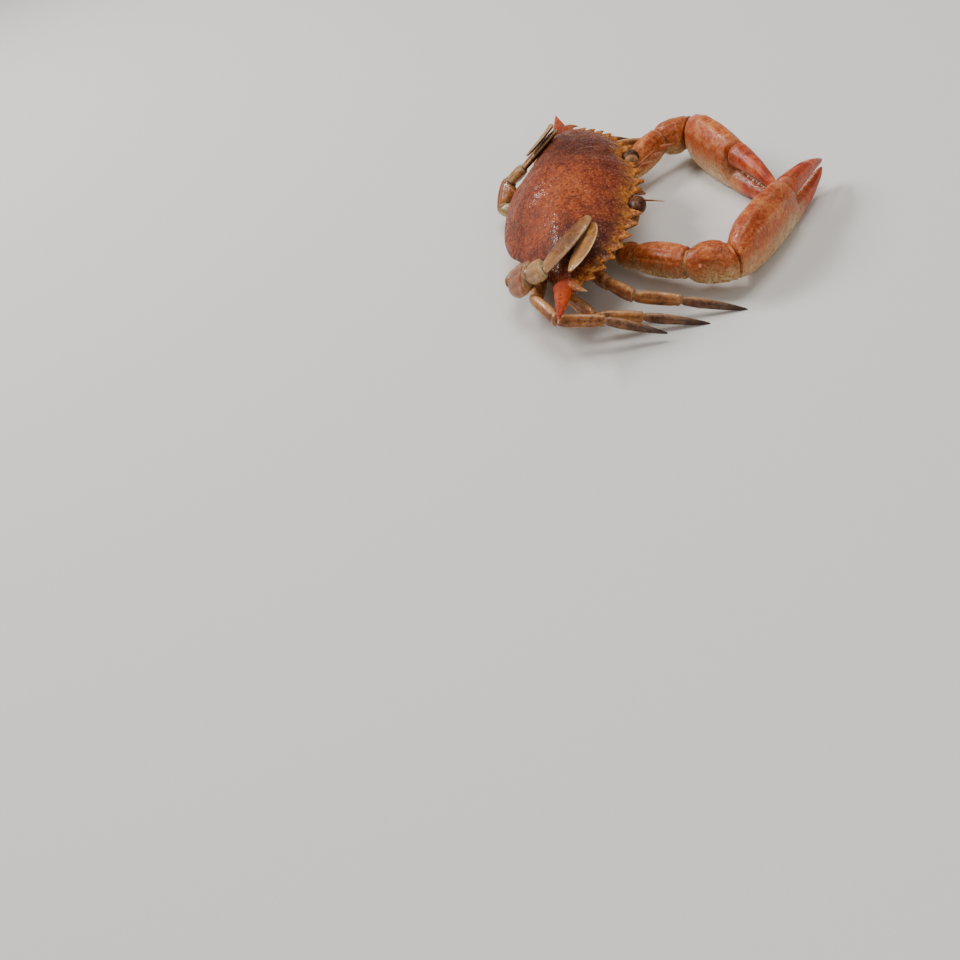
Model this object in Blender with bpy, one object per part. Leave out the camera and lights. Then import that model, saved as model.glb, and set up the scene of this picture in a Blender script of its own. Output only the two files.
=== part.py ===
"""Blue crab, cooked, at life size: one still specimen lying on its belly.

Metres, +Z up, +Y the way the head points, +X the crab's right side. The origin is on the
floor, under the middle of the carapace. Sizes below are in millimetres and are turned to
metres where a mesh is made. Points of the limbs are given for the right side and mirrored.
"""

import math

import bmesh
import bpy
from mathutils import Matrix, Vector

MM = 0.001
GAP = 0.3
SIDES = {"right": 1, "left": -1}
UP = Vector((0.0, 0.0, 1.0))

# Carapace: level of its edge above the floor, how far that falls at the sides and the rear
MARGIN_Z = 24.0
MARGIN_DROP = 2.4
REAR_DROP = 8.5
REAR_POWER = 1.4
REAR_REACH = 27.0
MARGIN_EDGE = 1.3
CROWN = 9.6
CROWN_POWER = 2.3
HALF_SPAN = 60.0
SHELL_CENTRE = Vector((0.0, -1.0, 0.0))
SHELL_BASE_Z = 14.4
SHELL_BASE_SLOPE = 0.10
OUTLINE_STEPS = 44
SHELL_RING_SHARES = (1.0, 0.96, 0.90, 0.82, 0.72, 0.60, 0.46, 0.30, 0.14)

# Rings under the shell's edge: share of the outline, share of the fall to the joint with the body
UNDER_RINGS = [(0.74, 1.0), (0.87, 0.80), (0.957, 0.42)]

# Right half of the shell's outline without its teeth, front middle to rear middle
HALF_OUTLINE = [
    (0.0, 26.6), (7.5, 27.0), (12.5, 25.6), (18.5, 23.4), (24.5, 24.6), (30.0, 23.8),
    (37.0, 21.4), (43.5, 18.3), (49.5, 14.7), (54.5, 10.8), (58.5, 6.6), (61.0, 2.2),
    (60.0, -3.2), (53.0, -7.6), (43.0, -12.8), (33.8, -17.6), (28.6, -20.6), (22.4, -24.0),
    (11.0, -26.6), (0.0, -27.2),
]

# Tips of the eight teeth along each front side; each rises from the outline near its tip
SIDE_TEETH = [
    (27.5, 28.4), (34.2, 26.0), (40.4, 23.2), (46.1, 20.2), (51.5, 16.9), (56.3, 13.4),
    (60.6, 9.4), (65.2, 4.9),
]
SIDE_TOOTH_FOOT = (1.4, 3.4)
SIDE_TOOTH_WIDTH = 9.4
SIDE_TOOTH_THICK = 3.9
LAST_TOOTH_FOOT = (60.4, -0.4)
LAST_TOOTH_WIDTH = 12.0
TOOTH_SINK = 3.0
TOOTH_RISE = 0.3
TOOTH_TAPER = 0.85

# The ninth tooth, a long spine at each corner; levels are counted from the shell's edge
SIDE_SPINE_ROOT = (55.0, -3.0, -2.2)
SIDE_SPINE_TIP = (83.0, -4.2, -2.4)
SIDE_SPINE_WIDTH = 9.4
SIDE_SPINE_THICK = 5.6
SIDE_SPINE_BEND = (0.0, 0.2, -0.4)
SIDE_SPINE_RINGS = (0.0, 0.2, 0.4, 0.6, 0.8, 0.93)

# Teeth between the eyes: tip and width
FRONT_TEETH = [(4.2, 30.6, 7.2), (10.4, 29.2, 6.8)]
FRONT_TOOTH_LENGTH = 7.0
FRONT_TOOTH_THICK = 3.2

# Swellings of the shell: x, y, spread along x and y, height
SWELLINGS = [
    (0.0, 9.5, 15.0, 9.0, 1.1),
    (0.0, -14.0, 9.0, 8.0, 1.2),
    (29.0, -5.0, 17.0, 11.0, 0.6),
    (-29.0, -5.0, 17.0, 11.0, 0.6),
    (13.0, -5.5, 4.5, 9.0, -0.9),
    (-13.0, -5.5, 4.5, 9.0, -0.9),
]

# Body under the shell: level, half width, front, rear; the first level is the joint with the shell
BODY_LEVELS = [
    (None, 41.0, 19.6, -19.0),
    (10.6, 28.5, 17.6, -20.6),
    (7.4, 24.0, 15.0, -20.4),
    (3.4, 20.5, 12.0, -19.0),
    (0.9, 17.5, 9.0, -17.0),
    (0.0, 14.5, 6.6, -14.6),
]
BODY_STEPS = 26
BODY_SQUARENESS = 2.6

# Hip stubs: where each starts inside the body as shares of the hip's place, and their radii
HIP_INSIDE = (0.55, 0.78)
HIP_INSIDE_Z = 7.6
HIP_RADII = {"claw": 4.2, "walking": 3.0, "swimming": 3.2}

# Tail plate folded under the body: y, z, half width, from its tip to its root
BELLY_PLATE = [
    (4.2, 0.0, 1.5), (-0.5, 0.0, 2.5), (-5.0, 0.0, 2.9), (-9.5, 0.0, 3.4), (-12.6, 0.0, 6.0), (-15.0, 0.7, 10.2),
    (-18.6, 2.8, 12.4), (-20.9, 6.4, 13.0), (-21.8, 10.0, 12.2),
]
BELLY_PLATE_THICK = 1.5
BELLY_RECESS_DEPTH = 1.9

# Face: eyes, the ledge under each eye, feelers and the two plates that close the mouth
EYE_CENTRE = (19.4, 26.6, 22.6)
EYE_RADII = (5.0, 3.4, 3.1)
UNDER_EYE_LOBE = (7.2, 4.4, 1.5)
UNDER_EYE_OFFSET = (-4.4, -4.5)
FEELERS = {
    "antenna": [(11.2, 24.0, 20.8), (14.0, 29.6, 21.4), (21.5, 36.4, 22.6)],
    "antennule": [(4.0, 24.6, 20.4), (4.3, 27.4, 20.2), (4.9, 30.0, 18.6)],
}
FEELER_WIDTH = {"antenna": 2.0, "antennule": 2.2}
MOUTH_TOP = (18.8, 12.2)
MOUTH_FOOT = (10.8, 1.6)
MOUTH_PLATE_HALF = 3.9
MOUTH_PLATE_MIDDLE = 4.3
MOUTH_PLATE_THICK = 1.8
MOUTH_RECESS_DEPTH = 6.0

# Claw arm joints: hip, elbow end of the first piece, elbow, wrist, finger tips
ARM_JOINTS = {
    1: [(27.0, 18.0, 8.4), (33.5, 23.5, 9.8), (50.0, 41.0, 12.4), (53.5, 55.5, 11.4), (-3.8, 95.6, 9.0)],
    -1: [(27.0, 18.0, 8.4), (33.5, 23.0, 9.8), (49.5, 38.5, 12.4), (52.5, 51.5, 11.4), (-12.4, 77.7, 9.0)],
}
ARM_SIZES = {"ischium": (9.6, 8.6), "merus": (12.4, 10.6), "carpus": (14.0, 12.6)}

# Spines of the arm: piece, share along it, length, width at the root, lean towards the tip, out, up
ARM_SPINES = [
    ("merus", 0.30, 3.4, 3.4, 0.9, 1.0, 0.1), ("merus", 0.57, 3.8, 3.4, 0.8, 1.0, 0.1),
    ("merus", 0.84, 4.2, 3.6, 0.7, 1.0, 0.1), ("carpus", 0.52, 2.8, 4.2, 0.6, -1.0, 0.4),
]
ARM_SPINE_SIDE = (-0.72, 0.69)
PALM_SPINE = (0.10, 3.4, 4.6, 1.0, 0.2, 1.0)
PALM_SPINE_RADIUS = 8.6
SPINE_SINK = 0.55

# Hand and moving finger: share of the hand's length, centre height, half height, half thickness
PALM_PROFILE = [
    (0.0, 0.0, 6.4, 4.8), (0.09, 0.3, 9.6, 6.2), (0.19, 0.5, 11.2, 7.0), (0.34, 0.3, 11.7, 7.0),
    (0.47, 0.0, 11.2, 6.5), (0.545, -0.3, 10.2, 5.9), (0.575, -5.2, 5.2, 4.7), (0.70, -5.4, 4.3, 3.9),
    (0.84, -4.6, 3.1, 2.9), (0.95, -3.0, 1.7, 1.7), (1.0, -2.0, 0.5, 0.5),
]
FINGER_PROFILE = [
    (0.585, 5.2, 4.8, 4.5), (0.66, 5.2, 4.3, 3.9), (0.78, 4.6, 3.4, 3.1), (0.89, 3.2, 2.3, 2.2),
    (0.97, 1.7, 1.2, 1.2), (1.0, 1.1, 0.5, 0.5),
]
WRIST_BLEND = 0.19

# Biting teeth: share of the hand's length, width along the finger, how far they stand out
BITING_TEETH = [
    (0.635, 3.4, 0.9), (0.690, 3.0, 0.8), (0.742, 3.2, 0.9), (0.794, 2.6, 0.7), (0.842, 2.4, 0.7), (0.886, 2.0, 0.6),
]
BITING_STAGGER = 0.022
BITING_ROOT = 1.6
BITING_THICK = 0.8

# Walking leg joints: hip, knee, wrist, ankle, tip; and the pieces' width and thickness
WALKING_JOINTS = {
    "leg_2": [(30.5, 4.5, 7.2), (50.0, 12.0, 12.0), (60.0, 20.5, 10.6), (62.5, 36.0, 6.4), (67.0, 57.0, 0.0)],
    "leg_3": [(31.0, -5.0, 7.2), (55.0, -1.5, 11.8), (65.4, 6.0, 9.4), (66.5, 22.5, 5.8), (70.5, 44.0, 0.0)],
    "leg_4": [(29.5, -13.4, 7.4), (57.5, -13.6, 16.6), (70.2, -6.0, 14.4), (71.6, 10.0, 11.2), (75.0, 29.5, 3.0)],
}
WALKING_SIZES = {"merus": (6.8, 4.6), "carpus": (5.6, 4.4), "propodus": (5.0, 3.7), "dactyl": (4.0, 3.0)}

# Swimming leg joints: hip, knee, wrist, ankle, fold, then the way each piece's width points.
# The right leg lies folded over the shell with its paddle below the hand, the left leg along
# the shell's rear edge with its paddle above the hand.
SWIM_JOINTS = {
    1: [(23.5, -21.8, 8.4), (36.8, -23.3, 13.9), (48.8, -14.3, 22.0), (57.0, -7.4, 27.8), (40.7, 10.2, 34.2)],
    -1: [(23.5, -21.8, 8.4), (30.0, -29.5, 10.0), (37.0, -25.2, 17.4), (34.6, -17.6, 23.2), (43.0, -1.8, 31.4)],
}
SWIM_HINTS = {
    1: [(0.3, 0.2, 1.0), (0.69, -0.18, -0.70), (0.69, -0.18, -0.70), (0.73, 0.65, 0.11), (0.55, 0.75, 0.36)],
    -1: [(1.0, 0.2, 0.3), (1.0, -0.2, 0.3), (0.75, -0.40, -0.55), (0.75, -0.40, -0.55), (0.75, -0.40, -0.55)],
}
PADDLE_LINES = {
    1: [(41.9, 10.8, 31.7), (52.8, 8.6, 30.8), (61.6, 1.3, 27.0)],
    -1: [(43.6, -3.2, 33.8), (38.0, -6.8, 32.2), (29.0, -14.2, 30.6)],
}
SWIM_SIZES = {"ischium": (7.6, 6.4), "merus": (12.0, 5.4), "carpus": (8.4, 5.0), "propodus": (8.6, 3.0),
              "paddle": (9.8, 1.5)}
MERUS_LOBE = 2.4

# Outlines of limb pieces: share of the length, share of the width, share of the thickness
EVEN_PROFILE = [(0.0, 1.0, 1.0), (0.6, 1.0, 1.0), (1.0, 1.0, 1.0)]
PIECE_PROFILE = [(0.0, 0.70, 0.74), (0.14, 0.88, 0.92), (0.45, 1.0, 1.0), (0.80, 0.98, 0.98), (1.0, 0.80, 0.86)]
SLENDER_PROFILE = [(0.0, 0.74, 0.80), (0.25, 1.0, 1.0), (0.75, 0.96, 0.96), (1.0, 0.76, 0.82)]
TIP_PROFILE = [(0.0, 0.80, 0.84), (0.25, 1.0, 1.0), (0.6, 0.74, 0.76), (0.86, 0.42, 0.44), (1.0, 0.14, 0.18)]
CLAW_CARPUS_PROFILE = [(0.0, 0.72, 0.72), (0.2, 0.96, 0.96), (0.5, 1.04, 1.08), (0.8, 1.0, 1.0), (1.0, 0.84, 0.8)]
SWIM_HAND_PROFILE = [(0.0, 0.62, 0.9), (0.18, 0.86, 1.0), (0.5, 1.0, 1.0), (0.82, 0.86, 0.9), (1.0, 0.42, 0.7)]
PADDLE_PROFILE = [(0.0, 0.34, 1.5), (0.12, 0.62, 1.3), (0.35, 0.96, 1.1), (0.6, 1.0, 1.0), (0.82, 0.76, 0.9),
                  (0.95, 0.40, 0.8), (1.0, 0.14, 0.7)]
FEELER_PROFILES = {
    "antenna": [(0.0, 1.0, 1.0), (0.18, 1.0, 1.0), (0.30, 0.62, 0.62), (0.65, 0.42, 0.42), (1.0, 0.25, 0.25)],
    "antennule": [(0.0, 1.0, 1.0), (0.45, 1.0, 1.0), (0.8, 0.8, 0.7), (1.0, 0.45, 0.4)],
}
MOUTH_PROFILE = [(0.0, 0.62), (0.12, 0.95), (0.5, 1.0), (0.88, 0.92), (1.0, 0.6)]

# Plain colours of the pieces, as red, green and blue shares
COLOURS = {
    "shell": (0.42, 0.11, 0.045), "underside": (0.62, 0.50, 0.36), "eye": (0.05, 0.02, 0.01),
    "feeler": (0.50, 0.38, 0.22), "claw": (0.55, 0.20, 0.07), "finger": (0.60, 0.16, 0.07),
    "leg": (0.44, 0.28, 0.14), "leg_tip": (0.33, 0.20, 0.12), "paddle": (0.50, 0.32, 0.17),
}


def clear_scene():
    for item in list(bpy.data.objects):
        bpy.data.objects.remove(item, do_unlink=True)
    for mesh in list(bpy.data.meshes):
        bpy.data.meshes.remove(mesh)


def make_material(name, colour, roughness):
    material = bpy.data.materials.new(name)
    material.use_nodes = True
    shader = material.node_tree.nodes["Principled BSDF"]
    shader.inputs["Base Color"].default_value = (*colour, 1.0)
    shader.inputs["Roughness"].default_value = roughness
    shader.inputs["Metallic"].default_value = 0.0
    return material


def make_object(name, bm, colour, roughness=0.4):
    """A finished node from a mesh in metres."""
    bmesh.ops.remove_doubles(bm, verts=bm.verts, dist=0.00001 * MM)
    bmesh.ops.recalc_face_normals(bm, faces=bm.faces)
    mesh = bpy.data.meshes.new(name)
    bm.to_mesh(mesh)
    bm.free()
    mesh.materials.append(make_material(name + "_finish", COLOURS[colour], roughness))
    mesh.shade_smooth()
    mesh.set_sharp_from_angle(angle=math.radians(40.0))
    item = bpy.data.objects.new(name, mesh)
    bpy.context.scene.collection.objects.link(item)
    return item


def add_loft(bm, rings):
    """Closed skin over rings of equal count, with flat ends; points in millimetres."""
    loops = [[bm.verts.new(Vector(point) * MM) for point in ring] for ring in rings]
    for lower, upper in zip(loops, loops[1:]):
        count = len(lower)
        for i in range(count):
            j = (i + 1) % count
            bm.faces.new((lower[i], lower[j], upper[j], upper[i]))
    bm.faces.new(list(reversed(loops[0])))
    bm.faces.new(loops[-1])


def keep_largest(item):
    """Leave only the largest closed surface of a mesh."""
    bm = bmesh.new()
    bm.from_mesh(item.data)
    islands = []
    unseen = set(bm.faces)
    while unseen:
        stack = [unseen.pop()]
        island = []
        while stack:
            face = stack.pop()
            island.append(face)
            for edge in face.edges:
                for other in edge.link_faces:
                    if other in unseen:
                        unseen.discard(other)
                        stack.append(other)
        islands.append(island)
    islands.sort(key=lambda faces: sum(face.calc_area() for face in faces))
    loose = [face for island in islands[:-1] for face in island]
    bmesh.ops.delete(bm, geom=loose, context="FACES")
    bm.to_mesh(item.data)
    bm.free()


def combine(item, others, operation, solver="EXACT"):
    """Fuse or cut a set of closed meshes with one node, then drop them."""
    group = bpy.data.collections.new(item.name + "_" + operation.lower())
    bpy.context.scene.collection.children.link(group)
    for other in others:
        for home in list(other.users_collection):
            home.objects.unlink(other)
        group.objects.link(other)
    modifier = item.modifiers.new(operation.lower(), "BOOLEAN")
    modifier.operation = operation
    modifier.operand_type = "COLLECTION"
    modifier.collection = group
    modifier.solver = solver
    bpy.context.view_layer.update()
    evaluated = item.evaluated_get(bpy.context.evaluated_depsgraph_get())
    mesh = bpy.data.meshes.new_from_object(evaluated)
    item.modifiers.remove(modifier)
    item.data = mesh
    for other in list(group.objects):
        bpy.data.objects.remove(other, do_unlink=True)
    bpy.data.collections.remove(group)
    keep_largest(item)
    while len(item.data.materials) > 1:
        item.data.materials.pop(index=1)


def scratch_object(bm):
    """A closed mesh that is fused or cut and then gone."""
    bmesh.ops.recalc_face_normals(bm, faces=bm.faces)
    mesh = bpy.data.meshes.new("form")
    bm.to_mesh(mesh)
    bm.free()
    item = bpy.data.objects.new("form", mesh)
    bpy.context.scene.collection.objects.link(item)
    return item


def spline_points(points, steps):
    """Catmull-Rom curve through points, read at equal lengths."""
    dense = []
    padded = [points[0]] + points + [points[-1]]
    for k in range(1, len(padded) - 2):
        p0, p1, p2, p3 = (Vector(padded[k + d]) for d in (-1, 0, 1, 2))
        for j in range(8):
            t = j / 8.0
            dense.append(
                0.5 * (2.0 * p1 + (p2 - p0) * t + (2.0 * p0 - 5.0 * p1 + 4.0 * p2 - p3) * t * t
                       + (3.0 * p1 - p0 - 3.0 * p2 + p3) * t * t * t)
            )
    dense.append(Vector(points[-1]))
    lengths = [0.0]
    for a, b in zip(dense, dense[1:]):
        lengths.append(lengths[-1] + (b - a).length)
    result = []
    k = 0
    for i in range(steps + 1):
        target = lengths[-1] * i / steps
        while k < len(lengths) - 2 and lengths[k + 1] < target:
            k += 1
        share = (target - lengths[k]) / max(lengths[k + 1] - lengths[k], 1e-9)
        result.append(dense[k].lerp(dense[k + 1], share))
    return result


def shell_outline():
    """Closed outline of the shell, from the rear middle over the right side and back."""
    half = spline_points(HALF_OUTLINE, OUTLINE_STEPS)
    left = [Vector((-point.x, point.y)) for point in half[1:-1]]
    return list(reversed(half)) + left


def margin_height(x, y):
    """Level of the shell's edge, which falls towards the sides and the rear."""
    rear = max(-y, 0.0) / REAR_REACH
    return MARGIN_Z - MARGIN_DROP * (x / HALF_SPAN) ** 2 - REAR_DROP * rear ** REAR_POWER


def base_height(y):
    """Level of the flat joint between shell and body."""
    return SHELL_BASE_Z + SHELL_BASE_SLOPE * y


def crown_height(x, y, share):
    """Top of the shell over a point that lies at this share of the way to the margin."""
    height = margin_height(x, y) + 0.5 * MARGIN_EDGE + CROWN * (1.0 - share ** CROWN_POWER)
    fade = 1.0 - share ** 4
    for cx, cy, sx, sy, lift in SWELLINGS:
        height += fade * lift * math.exp(-((x - cx) / sx) ** 2 - ((y - cy) / sy) ** 2)
    return height


def ring_at(outline, share, height):
    ring = []
    for point in outline:
        x = SHELL_CENTRE.x + (point.x - SHELL_CENTRE.x) * share
        y = SHELL_CENTRE.y + (point.y - SHELL_CENTRE.y) * share
        ring.append((x, y, height(x, y, share)))
    return ring


def tooth_form(root, tip, width, thick, bend=(0.0, 0.0, 0.0), sides=4, rings=(0.0, 0.5, 0.82)):
    """Tapered tooth or spine, flattened along Z, with its root ring first and a sharp tip."""
    root = Vector(root)
    tip = Vector(tip)
    axis = (tip - root).normalized()
    across = axis.cross(Vector((0.0, 0.0, 1.0))).normalized()
    up = across.cross(axis).normalized()
    bm = bmesh.new()
    loops = []
    for share in rings:
        centre = root.lerp(tip, share) + Vector(bend) * math.sin(math.pi * share)
        size = (1.0 - share) ** TOOTH_TAPER
        loop = []
        for i in range(sides):
            angle = 2.0 * math.pi * i / sides
            offset = across * (0.5 * width * size * math.cos(angle)) + up * (0.5 * thick * size * math.sin(angle))
            loop.append(bm.verts.new((centre + offset) * MM))
        loops.append(loop)
    for lower, upper in zip(loops, loops[1:]):
        for i in range(sides):
            j = (i + 1) % sides
            bm.faces.new((lower[i], lower[j], upper[j], upper[i]))
    apex = bm.verts.new(tip * MM)
    for i in range(sides):
        bm.faces.new((loops[-1][i], loops[-1][(i + 1) % sides], apex))
    bm.faces.new(list(reversed(loops[0])))
    return scratch_object(bm)


def ellipsoid_form(centre, radii, grow=0.0, segments=16, rings=10):
    bm = bmesh.new()
    size = [radius + grow for radius in radii]
    matrix = Matrix.Translation(Vector(centre) * MM) @ Matrix.Diagonal((*[s * MM for s in size], 1.0))
    bmesh.ops.create_uvsphere(bm, u_segments=segments, v_segments=rings, radius=1.0, matrix=matrix)
    return bm


def teeth_and_spines(outline):
    """All that stands out from the shell's edge, and the ledge under each eye."""
    forms = []
    for side in SIDES.values():
        for x, y in SIDE_TEETH:
            tip = Vector((side * x, y, margin_height(x, y) + TOOTH_RISE))
            if (x, y) == SIDE_TEETH[-1]:
                foot = Vector((side * LAST_TOOTH_FOOT[0], LAST_TOOTH_FOOT[1], margin_height(x, y)))
                forms.append(tooth_form(foot, tip, LAST_TOOTH_WIDTH, SIDE_TOOTH_THICK))
                continue
            wanted = Vector((side * (x - SIDE_TOOTH_FOOT[0]), y - SIDE_TOOTH_FOOT[1]))
            nearest = min(outline, key=lambda point: (point.xy - wanted).length)
            foot = Vector((nearest.x, nearest.y, margin_height(x, y)))
            inward = (foot - tip).normalized() * TOOTH_SINK
            forms.append(tooth_form(foot + inward, tip, SIDE_TOOTH_WIDTH, SIDE_TOOTH_THICK))
        root, tip = (mirrored(point, side) + UP * MARGIN_Z for point in (SIDE_SPINE_ROOT, SIDE_SPINE_TIP))
        forms.append(tooth_form(root, tip, SIDE_SPINE_WIDTH, SIDE_SPINE_THICK, SIDE_SPINE_BEND, 8, SIDE_SPINE_RINGS))
        for x, y, width in FRONT_TEETH:
            tip = Vector((side * x, y, MARGIN_Z + TOOTH_RISE))
            forms.append(tooth_form((side * x, y - FRONT_TOOTH_LENGTH, MARGIN_Z), tip, width, FRONT_TOOTH_THICK))
        eye = mirrored(EYE_CENTRE, side)
        ledge = eye + Vector((0.0, *UNDER_EYE_OFFSET))
        forms.append(scratch_object(ellipsoid_form(ledge, UNDER_EYE_LOBE, 0.0, 14, 8)))
    return forms


def build_carapace():
    outline = shell_outline()
    rings = []
    for share, fall in UNDER_RINGS:
        rings.append(ring_at(outline, share,
                             lambda x, y, s: margin_height(x, y) * (1.0 - fall) + base_height(y) * fall))
    rings.append(ring_at(outline, 1.0, lambda x, y, s: margin_height(x, y) - 0.5 * MARGIN_EDGE))
    rings += [ring_at(outline, share, crown_height) for share in SHELL_RING_SHARES]
    bm = bmesh.new()
    loops = [[bm.verts.new(Vector(point) * MM) for point in ring] for ring in rings]
    count = len(outline)
    for lower, upper in zip(loops, loops[1:]):
        for i in range(count):
            j = (i + 1) % count
            bm.faces.new((lower[i], lower[j], upper[j], upper[i]))
    bm.faces.new(list(reversed(loops[0])))
    crown = (SHELL_CENTRE.x, SHELL_CENTRE.y, crown_height(SHELL_CENTRE.x, SHELL_CENTRE.y, 0.0))
    top = bm.verts.new(Vector(crown) * MM)
    for i in range(count):
        bm.faces.new((loops[-1][i], loops[-1][(i + 1) % count], top))
    shell = make_object("carapace", bm, "shell", 0.35)
    combine(shell, teeth_and_spines(outline), "UNION")
    sockets = []
    for side in SIDES.values():
        sockets.append(scratch_object(ellipsoid_form(mirrored(EYE_CENTRE, side), EYE_RADII, GAP)))
        sockets += [closed_form(feeler_rings(name, side, GAP)) for name in FEELERS]
    combine(shell, sockets, "DIFFERENCE")


def squared_ring(half_width, front, rear, level, count):
    """Rounded-square ring at one level, at equal angles."""
    ring = []
    power = 2.0 / BODY_SQUARENESS
    middle = 0.5 * (front + rear)
    reach = 0.5 * (front - rear)
    for i in range(count):
        angle = 2.0 * math.pi * i / count
        cosine = math.cos(angle)
        sine = math.sin(angle)
        x = math.copysign(abs(cosine) ** power, cosine) * half_width
        y = math.copysign(abs(sine) ** power, sine) * reach + middle
        ring.append((x, y, base_height(y) - GAP if level is None else level))
    return ring


def mirrored(point, side):
    return Vector((point[0] * side, point[1], point[2]))


def hip_forms():
    """Short hip stubs that carry the ten limbs, each ending square to its limb."""
    forms = []
    for side in SIDES.values():
        hips = [("claw", ARM_JOINTS[side]), ("swimming", SWIM_JOINTS[side])]
        hips += [("walking", joints) for joints in WALKING_JOINTS.values()]
        for kind, joints in hips:
            end = mirrored(joints[0], side)
            axis = (mirrored(joints[1], side) - end).normalized()
            inner = Vector((end.x * HIP_INSIDE[0], end.y * HIP_INSIDE[1], HIP_INSIDE_Z))
            width = 2.0 * HIP_RADII[kind]
            forms.append(closed_form(limb_rings(inner, end - axis * (0.5 * GAP), EVEN_PROFILE, width, width,
                                                UP, None, axis, sides=10)))
    return forms


def build_body():
    bm = bmesh.new()
    add_loft(bm, [squared_ring(half_width, front, rear, level, 2 * BODY_STEPS)
                  for level, half_width, front, rear in BODY_LEVELS])
    body = make_object("underbody", bm, "underside", 0.5)
    combine(body, hip_forms(), "UNION")
    recesses = [closed_form(belly_rings(BELLY_PLATE_THICK + GAP, BELLY_RECESS_DEPTH, 2.0 * GAP))]
    recesses += [closed_form(mouth_rings(side, 0.5 * MOUTH_PLATE_THICK + GAP, MOUTH_RECESS_DEPTH, GAP))
                 for side in SIDES.values()]
    combine(body, recesses, "DIFFERENCE")


def ring_frame(tangent, broad_hint):
    across = Vector(broad_hint) - tangent * Vector(broad_hint).dot(tangent)
    across.normalize()
    other = tangent.cross(across).normalized()
    return across, other


def limb_rings(start, end, profile, broad, thin, broad_hint, start_normal=None, end_normal=None,
               control=None, sides=8, lowest=None):
    """Oval rings along a gently bent line. profile holds (share, broad factor, thin factor)."""
    start = Vector(start)
    end = Vector(end)
    control = (start + end) * 0.5 if control is None else Vector(control)
    rings = []
    for share, broad_factor, thin_factor in profile:
        centre = start.lerp(control, share).lerp(control.lerp(end, share), share)
        tangent = (control - start).lerp(end - control, share).normalized()
        normal = tangent
        if share < 0.5 and start_normal is not None:
            normal = tangent.lerp(Vector(start_normal).normalized(), 1.0 - 2.0 * share).normalized()
        if share > 0.5 and end_normal is not None:
            normal = tangent.lerp(Vector(end_normal).normalized(), 2.0 * share - 1.0).normalized()
        across, other = ring_frame(tangent, broad_hint)
        ring = []
        for i in range(sides):
            angle = 2.0 * math.pi * (i + 0.5) / sides
            offset = (across * (0.5 * broad * broad_factor * math.cos(angle))
                      + other * (0.5 * thin * thin_factor * math.sin(angle)))
            offset -= tangent * (offset.dot(normal) / tangent.dot(normal))
            point = centre + offset
            if lowest is not None:
                point.z = max(point.z, lowest)
            ring.append(point)
        rings.append(ring)
    return rings


def joint_normals(joints):
    """At each joint, the plane that halves the bend between the two pieces."""
    directions = [(b - a).normalized() for a, b in zip(joints, joints[1:])]
    normals = [directions[0]]
    for before, after in zip(directions, directions[1:]):
        normals.append((before + after).normalized())
    normals.append(directions[-1])
    return normals


def piece_ends(joints, normals, k):
    """Ends of piece k, each drawn back half the gap from the joint's plane."""
    direction = (joints[k + 1] - joints[k]).normalized()
    start_back = 0.5 * GAP / max(direction.dot(normals[k]), 0.4)
    end_back = 0.5 * GAP / max(direction.dot(normals[k + 1]), 0.4)
    if k + 2 == len(joints):
        end_back = 0.0
    return joints[k] + direction * start_back, joints[k + 1] - direction * end_back


def build_walking_leg(leg, label, side):
    joints = [mirrored(point, side) for point in WALKING_JOINTS[leg]]
    normals = joint_normals(joints)
    profiles = {"propodus": SLENDER_PROFILE, "dactyl": TIP_PROFILE}
    for k, (piece, (broad, thin)) in enumerate(WALKING_SIZES.items()):
        start, end = piece_ends(joints, normals, k)
        profile = profiles.get(piece, PIECE_PROFILE)
        rings = limb_rings(start, end, profile, broad, thin, UP, normals[k], normals[k + 1], lowest=0.0)
        bm = bmesh.new()
        add_loft(bm, rings)
        make_object(f"{leg}_{piece}_{label}", bm, "leg_tip" if piece == "dactyl" else "leg")


def build_swimming_leg(label, side):
    joints = [mirrored(point, side) for point in SWIM_JOINTS[side]]
    normals = joint_normals(joints)
    for k, (piece, (broad, thin)) in enumerate(SWIM_SIZES.items()):
        hint = mirrored(SWIM_HINTS[side][k], side)
        profile = PIECE_PROFILE
        control = start_normal = end_normal = None
        if piece == "paddle":
            start, control, end = (mirrored(point, side) for point in PADDLE_LINES[side])
            profile = PADDLE_PROFILE
        else:
            start, end = piece_ends(joints, normals, k)
            start_normal, end_normal = normals[k], normals[k + 1]
        if piece == "merus":
            control = (start + end) * 0.5 + hint.normalized() * MERUS_LOBE
        if piece == "propodus":
            profile = SWIM_HAND_PROFILE
        rings = limb_rings(start, end, profile, broad, thin, hint, start_normal, end_normal, control, lowest=0.0)
        bm = bmesh.new()
        add_loft(bm, rings)
        make_object(f"swimming_leg_{piece}_{label}", bm, "paddle" if piece == "paddle" else "leg")


def claw_rings(wrist, tip, table, normal=None, sides=10, lowest=0.0):
    """Cross sections of the hand or its moving finger, from the wrist to the finger tips."""
    wrist = Vector(wrist)
    tip = Vector(tip)
    axis = (tip - wrist).normalized()
    side_way = axis.cross(Vector((0.0, 0.0, 1.0))).normalized()
    up = side_way.cross(axis).normalized()
    rings = []
    for share, rise, half_height, half_thick in table:
        centre = wrist.lerp(tip, share) + up * rise
        ring = []
        for i in range(sides):
            angle = 2.0 * math.pi * (i + 0.5) / sides
            offset = up * (half_height * math.cos(angle)) + side_way * (half_thick * math.sin(angle))
            if normal is not None and share < WRIST_BLEND:
                tilted = axis.lerp(Vector(normal), 1.0 - share / WRIST_BLEND).normalized()
                offset -= axis * (offset.dot(tilted) / axis.dot(tilted))
            point = centre + offset
            point.z = max(point.z, lowest)
            ring.append(point)
        rings.append(ring)
    return rings


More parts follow.
